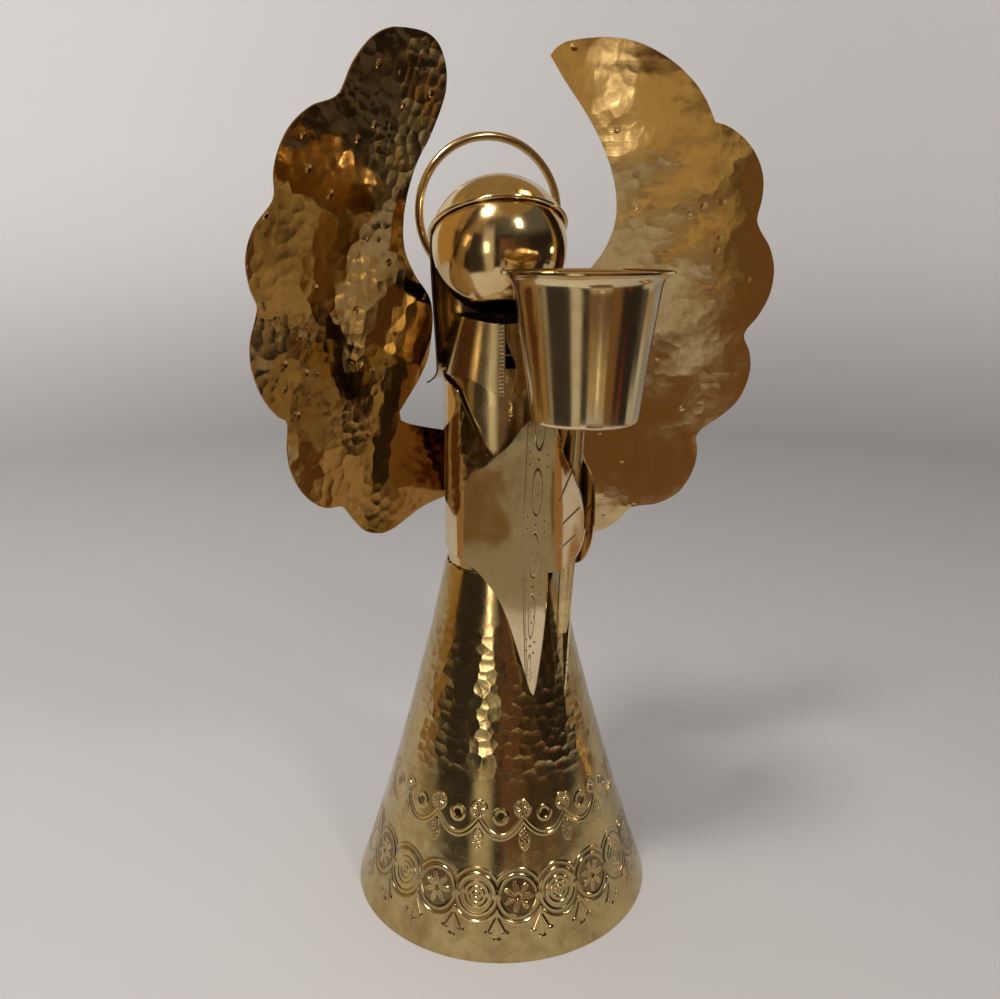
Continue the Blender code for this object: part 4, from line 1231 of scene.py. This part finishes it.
def room_floor():
    """Floor beyond the paper's front edge, with what lies about on it and small glowing spots that put
    painted glints in the wings; clear where the paper is.
    """
    mat, b = new_paint("dim_room_floor")
    where, bearing, reach, _ = round_about(b, 0.075)
    tone = patched(b, (*NIGHT, 1.0), bearing, reach, [
        (-57.0, 0.80, 27.0, 0.6, 0.05, DUSK), (-77.5, 0.80, 10.5, 0.34, 0.05, SAND),
        (-92.0, 0.8, 8.6, 0.45, 0.03, TEAK), (-77.5, 0.44, 10.5, 0.08, 0.05, SAND),
        (-79.0, 0.72, 3.4, 0.17, 0.12, RUSSET),
        (-84.6, 0.60, 1.1, 0.12, 0.3, TEAK), (-18.0, 0.8, 8.0, 0.6, 0.25, (0.50, 0.45, 0.36)),
        (18.0, 0.67, 15.0, 0.11, 0.05, AMBER), (14.0, 0.92, 15.0, 0.19, 0.1, (0.10, 0.052, 0.036)),
        (20.0, 0.53, 18.0, 0.05, 0.05, LINEN), (20.0, 0.585, 19.0, 0.012, 0.4, (0.13, 0.055, 0.035)),
        (42.0, 0.8, 8.0, 0.4, 0.15, OAK), (62.0, 0.62, 2.6, 0.13, 0.4, BRICK),
        (20.0, 0.37, 17.0, 0.105, 0.03, OAK),
        (100.0, 0.40, 14.0, 0.13, 0.08, OAK), (101.0, 0.61, 14.0, 0.10, 0.1, TEAK),
        (101.0, 0.75, 14.0, 0.05, 0.2, LINEN), (101.0, 1.09, 14.0, 0.10, 0.2, SLATE),
        # The small spots brighter than white, from here on, are painted glints: each sits where a wing
        # reflects this floor, to put a bright spot in it.
        (111.5, 1.04, 12.0, 0.24, 0.04, LINEN), (20.0, 0.652, 1.8, 0.014, 0.3, LAMPLIGHT),
        (19.0, 0.70, 0.9, 0.008, 0.8, LAMPLIGHT), (97.0, 0.37, 1.5, 0.011, 0.3, PAINTED_GLINT),
        (99.5, 0.415, 1.1, 0.009, 0.3, PAINTED_GLINT), (96.5, 0.60, 0.9, 0.010, 0.3, PAINTED_GLINT),
        (100.5, 0.30, 1.4, 0.010, 0.3, PAINTED_GLINT),
    ])
    strips = b.noise(b.shifted(where, scale=(22.0, 9.0, 1.0), turn=(0.0, 0.0, 0.9)), 1.0, 3.0, 0.6)
    woven = b.mul(b.span(strips, 0.45, 0.48), b.span(b.size(b.sub(reach, 0.64)), 0.16, 0.13))
    woven = b.mul(woven, b.span(bearing, 86.0, 87.0))
    tone = b.blend(woven, tone, (*LINEN, 1.0))
    edge = b.span(bearing, -14.0, -6.0, 0.37, 0.46)
    beyond = b.span(b.sub(reach, edge), 0.0, 0.01)
    near_right = b.mul(b.span(bearing, 86.0, 87.0), b.span(reach, 0.27, 0.28))
    near_front = b.span(b.size(b.sub(bearing, 20.0)), 17.0, 16.0)
    near_front = b.mul(near_front, b.span(reach, 0.30, 0.31))
    near_front = b.mul(near_front, b.span(reach, 0.48, 0.475))
    shown = b.more(beyond, b.more(near_right, near_front))
    return glowing(mat, b, tone, shown)


def room_ceiling():
    mat, b = new_paint("dim_room_ceiling")
    where, _, _, _ = round_about(b, 0.0)
    cloud = b.noise(where, 2.2, 3.0, 0.6)
    return glowing(mat, b, b.blend(cloud, (0.22, 0.14, 0.06, 1.0), (0.36, 0.24, 0.105, 1.0)))


make_sweep()
soft_box("key_box", from_camera(-34.0, 60.0, 1.10), (0.20, 0.20), 9.0, (1.0, 0.97, 0.93))
soft_box("top_box", from_camera(38.0, 40.0, 1.05), (0.10, 0.16), 2.2, (1.0, 0.95, 0.88))
soft_box("front_box", from_camera(-21.0, 5.0, 0.95), (0.11, 0.26), 0.35, (1.0, 0.94, 0.84))
soft_box("low_box", from_camera(98.0, 3.0, 0.85), (0.05, 0.05), 0.3, (1.0, 0.80, 0.50))
wall_line = [(1.12, 0.0), (1.12, 0.5), (1.12, 1.0), (1.12, 1.6)]
floor_line = [(0.24, 0.003), (0.5, 0.003), (0.8, 0.003), (1.12, 0.003)]
ceiling_line = [(1.70, 1.25), (1.45, 1.55), (0.8, 1.75), (0.01, 1.80)]
swept_card("room_wall", wall_line, -128.0, 114.0, 64, room_wall())
swept_card("room_floor", floor_line, -100.0, 112.0, 64, room_floor())
swept_card("room_ceiling", ceiling_line, 0.0, 360.0, 48, room_ceiling())

world = bpy.data.worlds.new("studio")
world.use_nodes = True
bpy.context.scene.world = world
sky = world.node_tree.nodes["Background"]
sky.inputs["Color"].default_value = (0.80, 0.785, 0.785, 1.0)
sky.inputs["Strength"].default_value = 1.0

cam_data = bpy.data.cameras.new("camera")
cam_data.sensor_width = 36.0
cam_data.lens = 34.2
cam_data.shift_x = -0.0015
cam_data.clip_start = 0.01
cam_data.clip_end = 20.0
camera = bpy.data.objects.new("camera", cam_data)
camera.location = (-0.19565, -0.34904, 0.3000)
dip = math.radians(15.3)
look = Vector((0.4695 * math.cos(dip), 0.8829 * math.cos(dip), -math.sin(dip)))
camera.rotation_euler = look.to_track_quat("-Z", "Y").to_euler()
bpy.context.scene.collection.objects.link(camera)
bpy.context.scene.camera = camera
bpy.context.scene.view_settings.view_transform = "Standard"
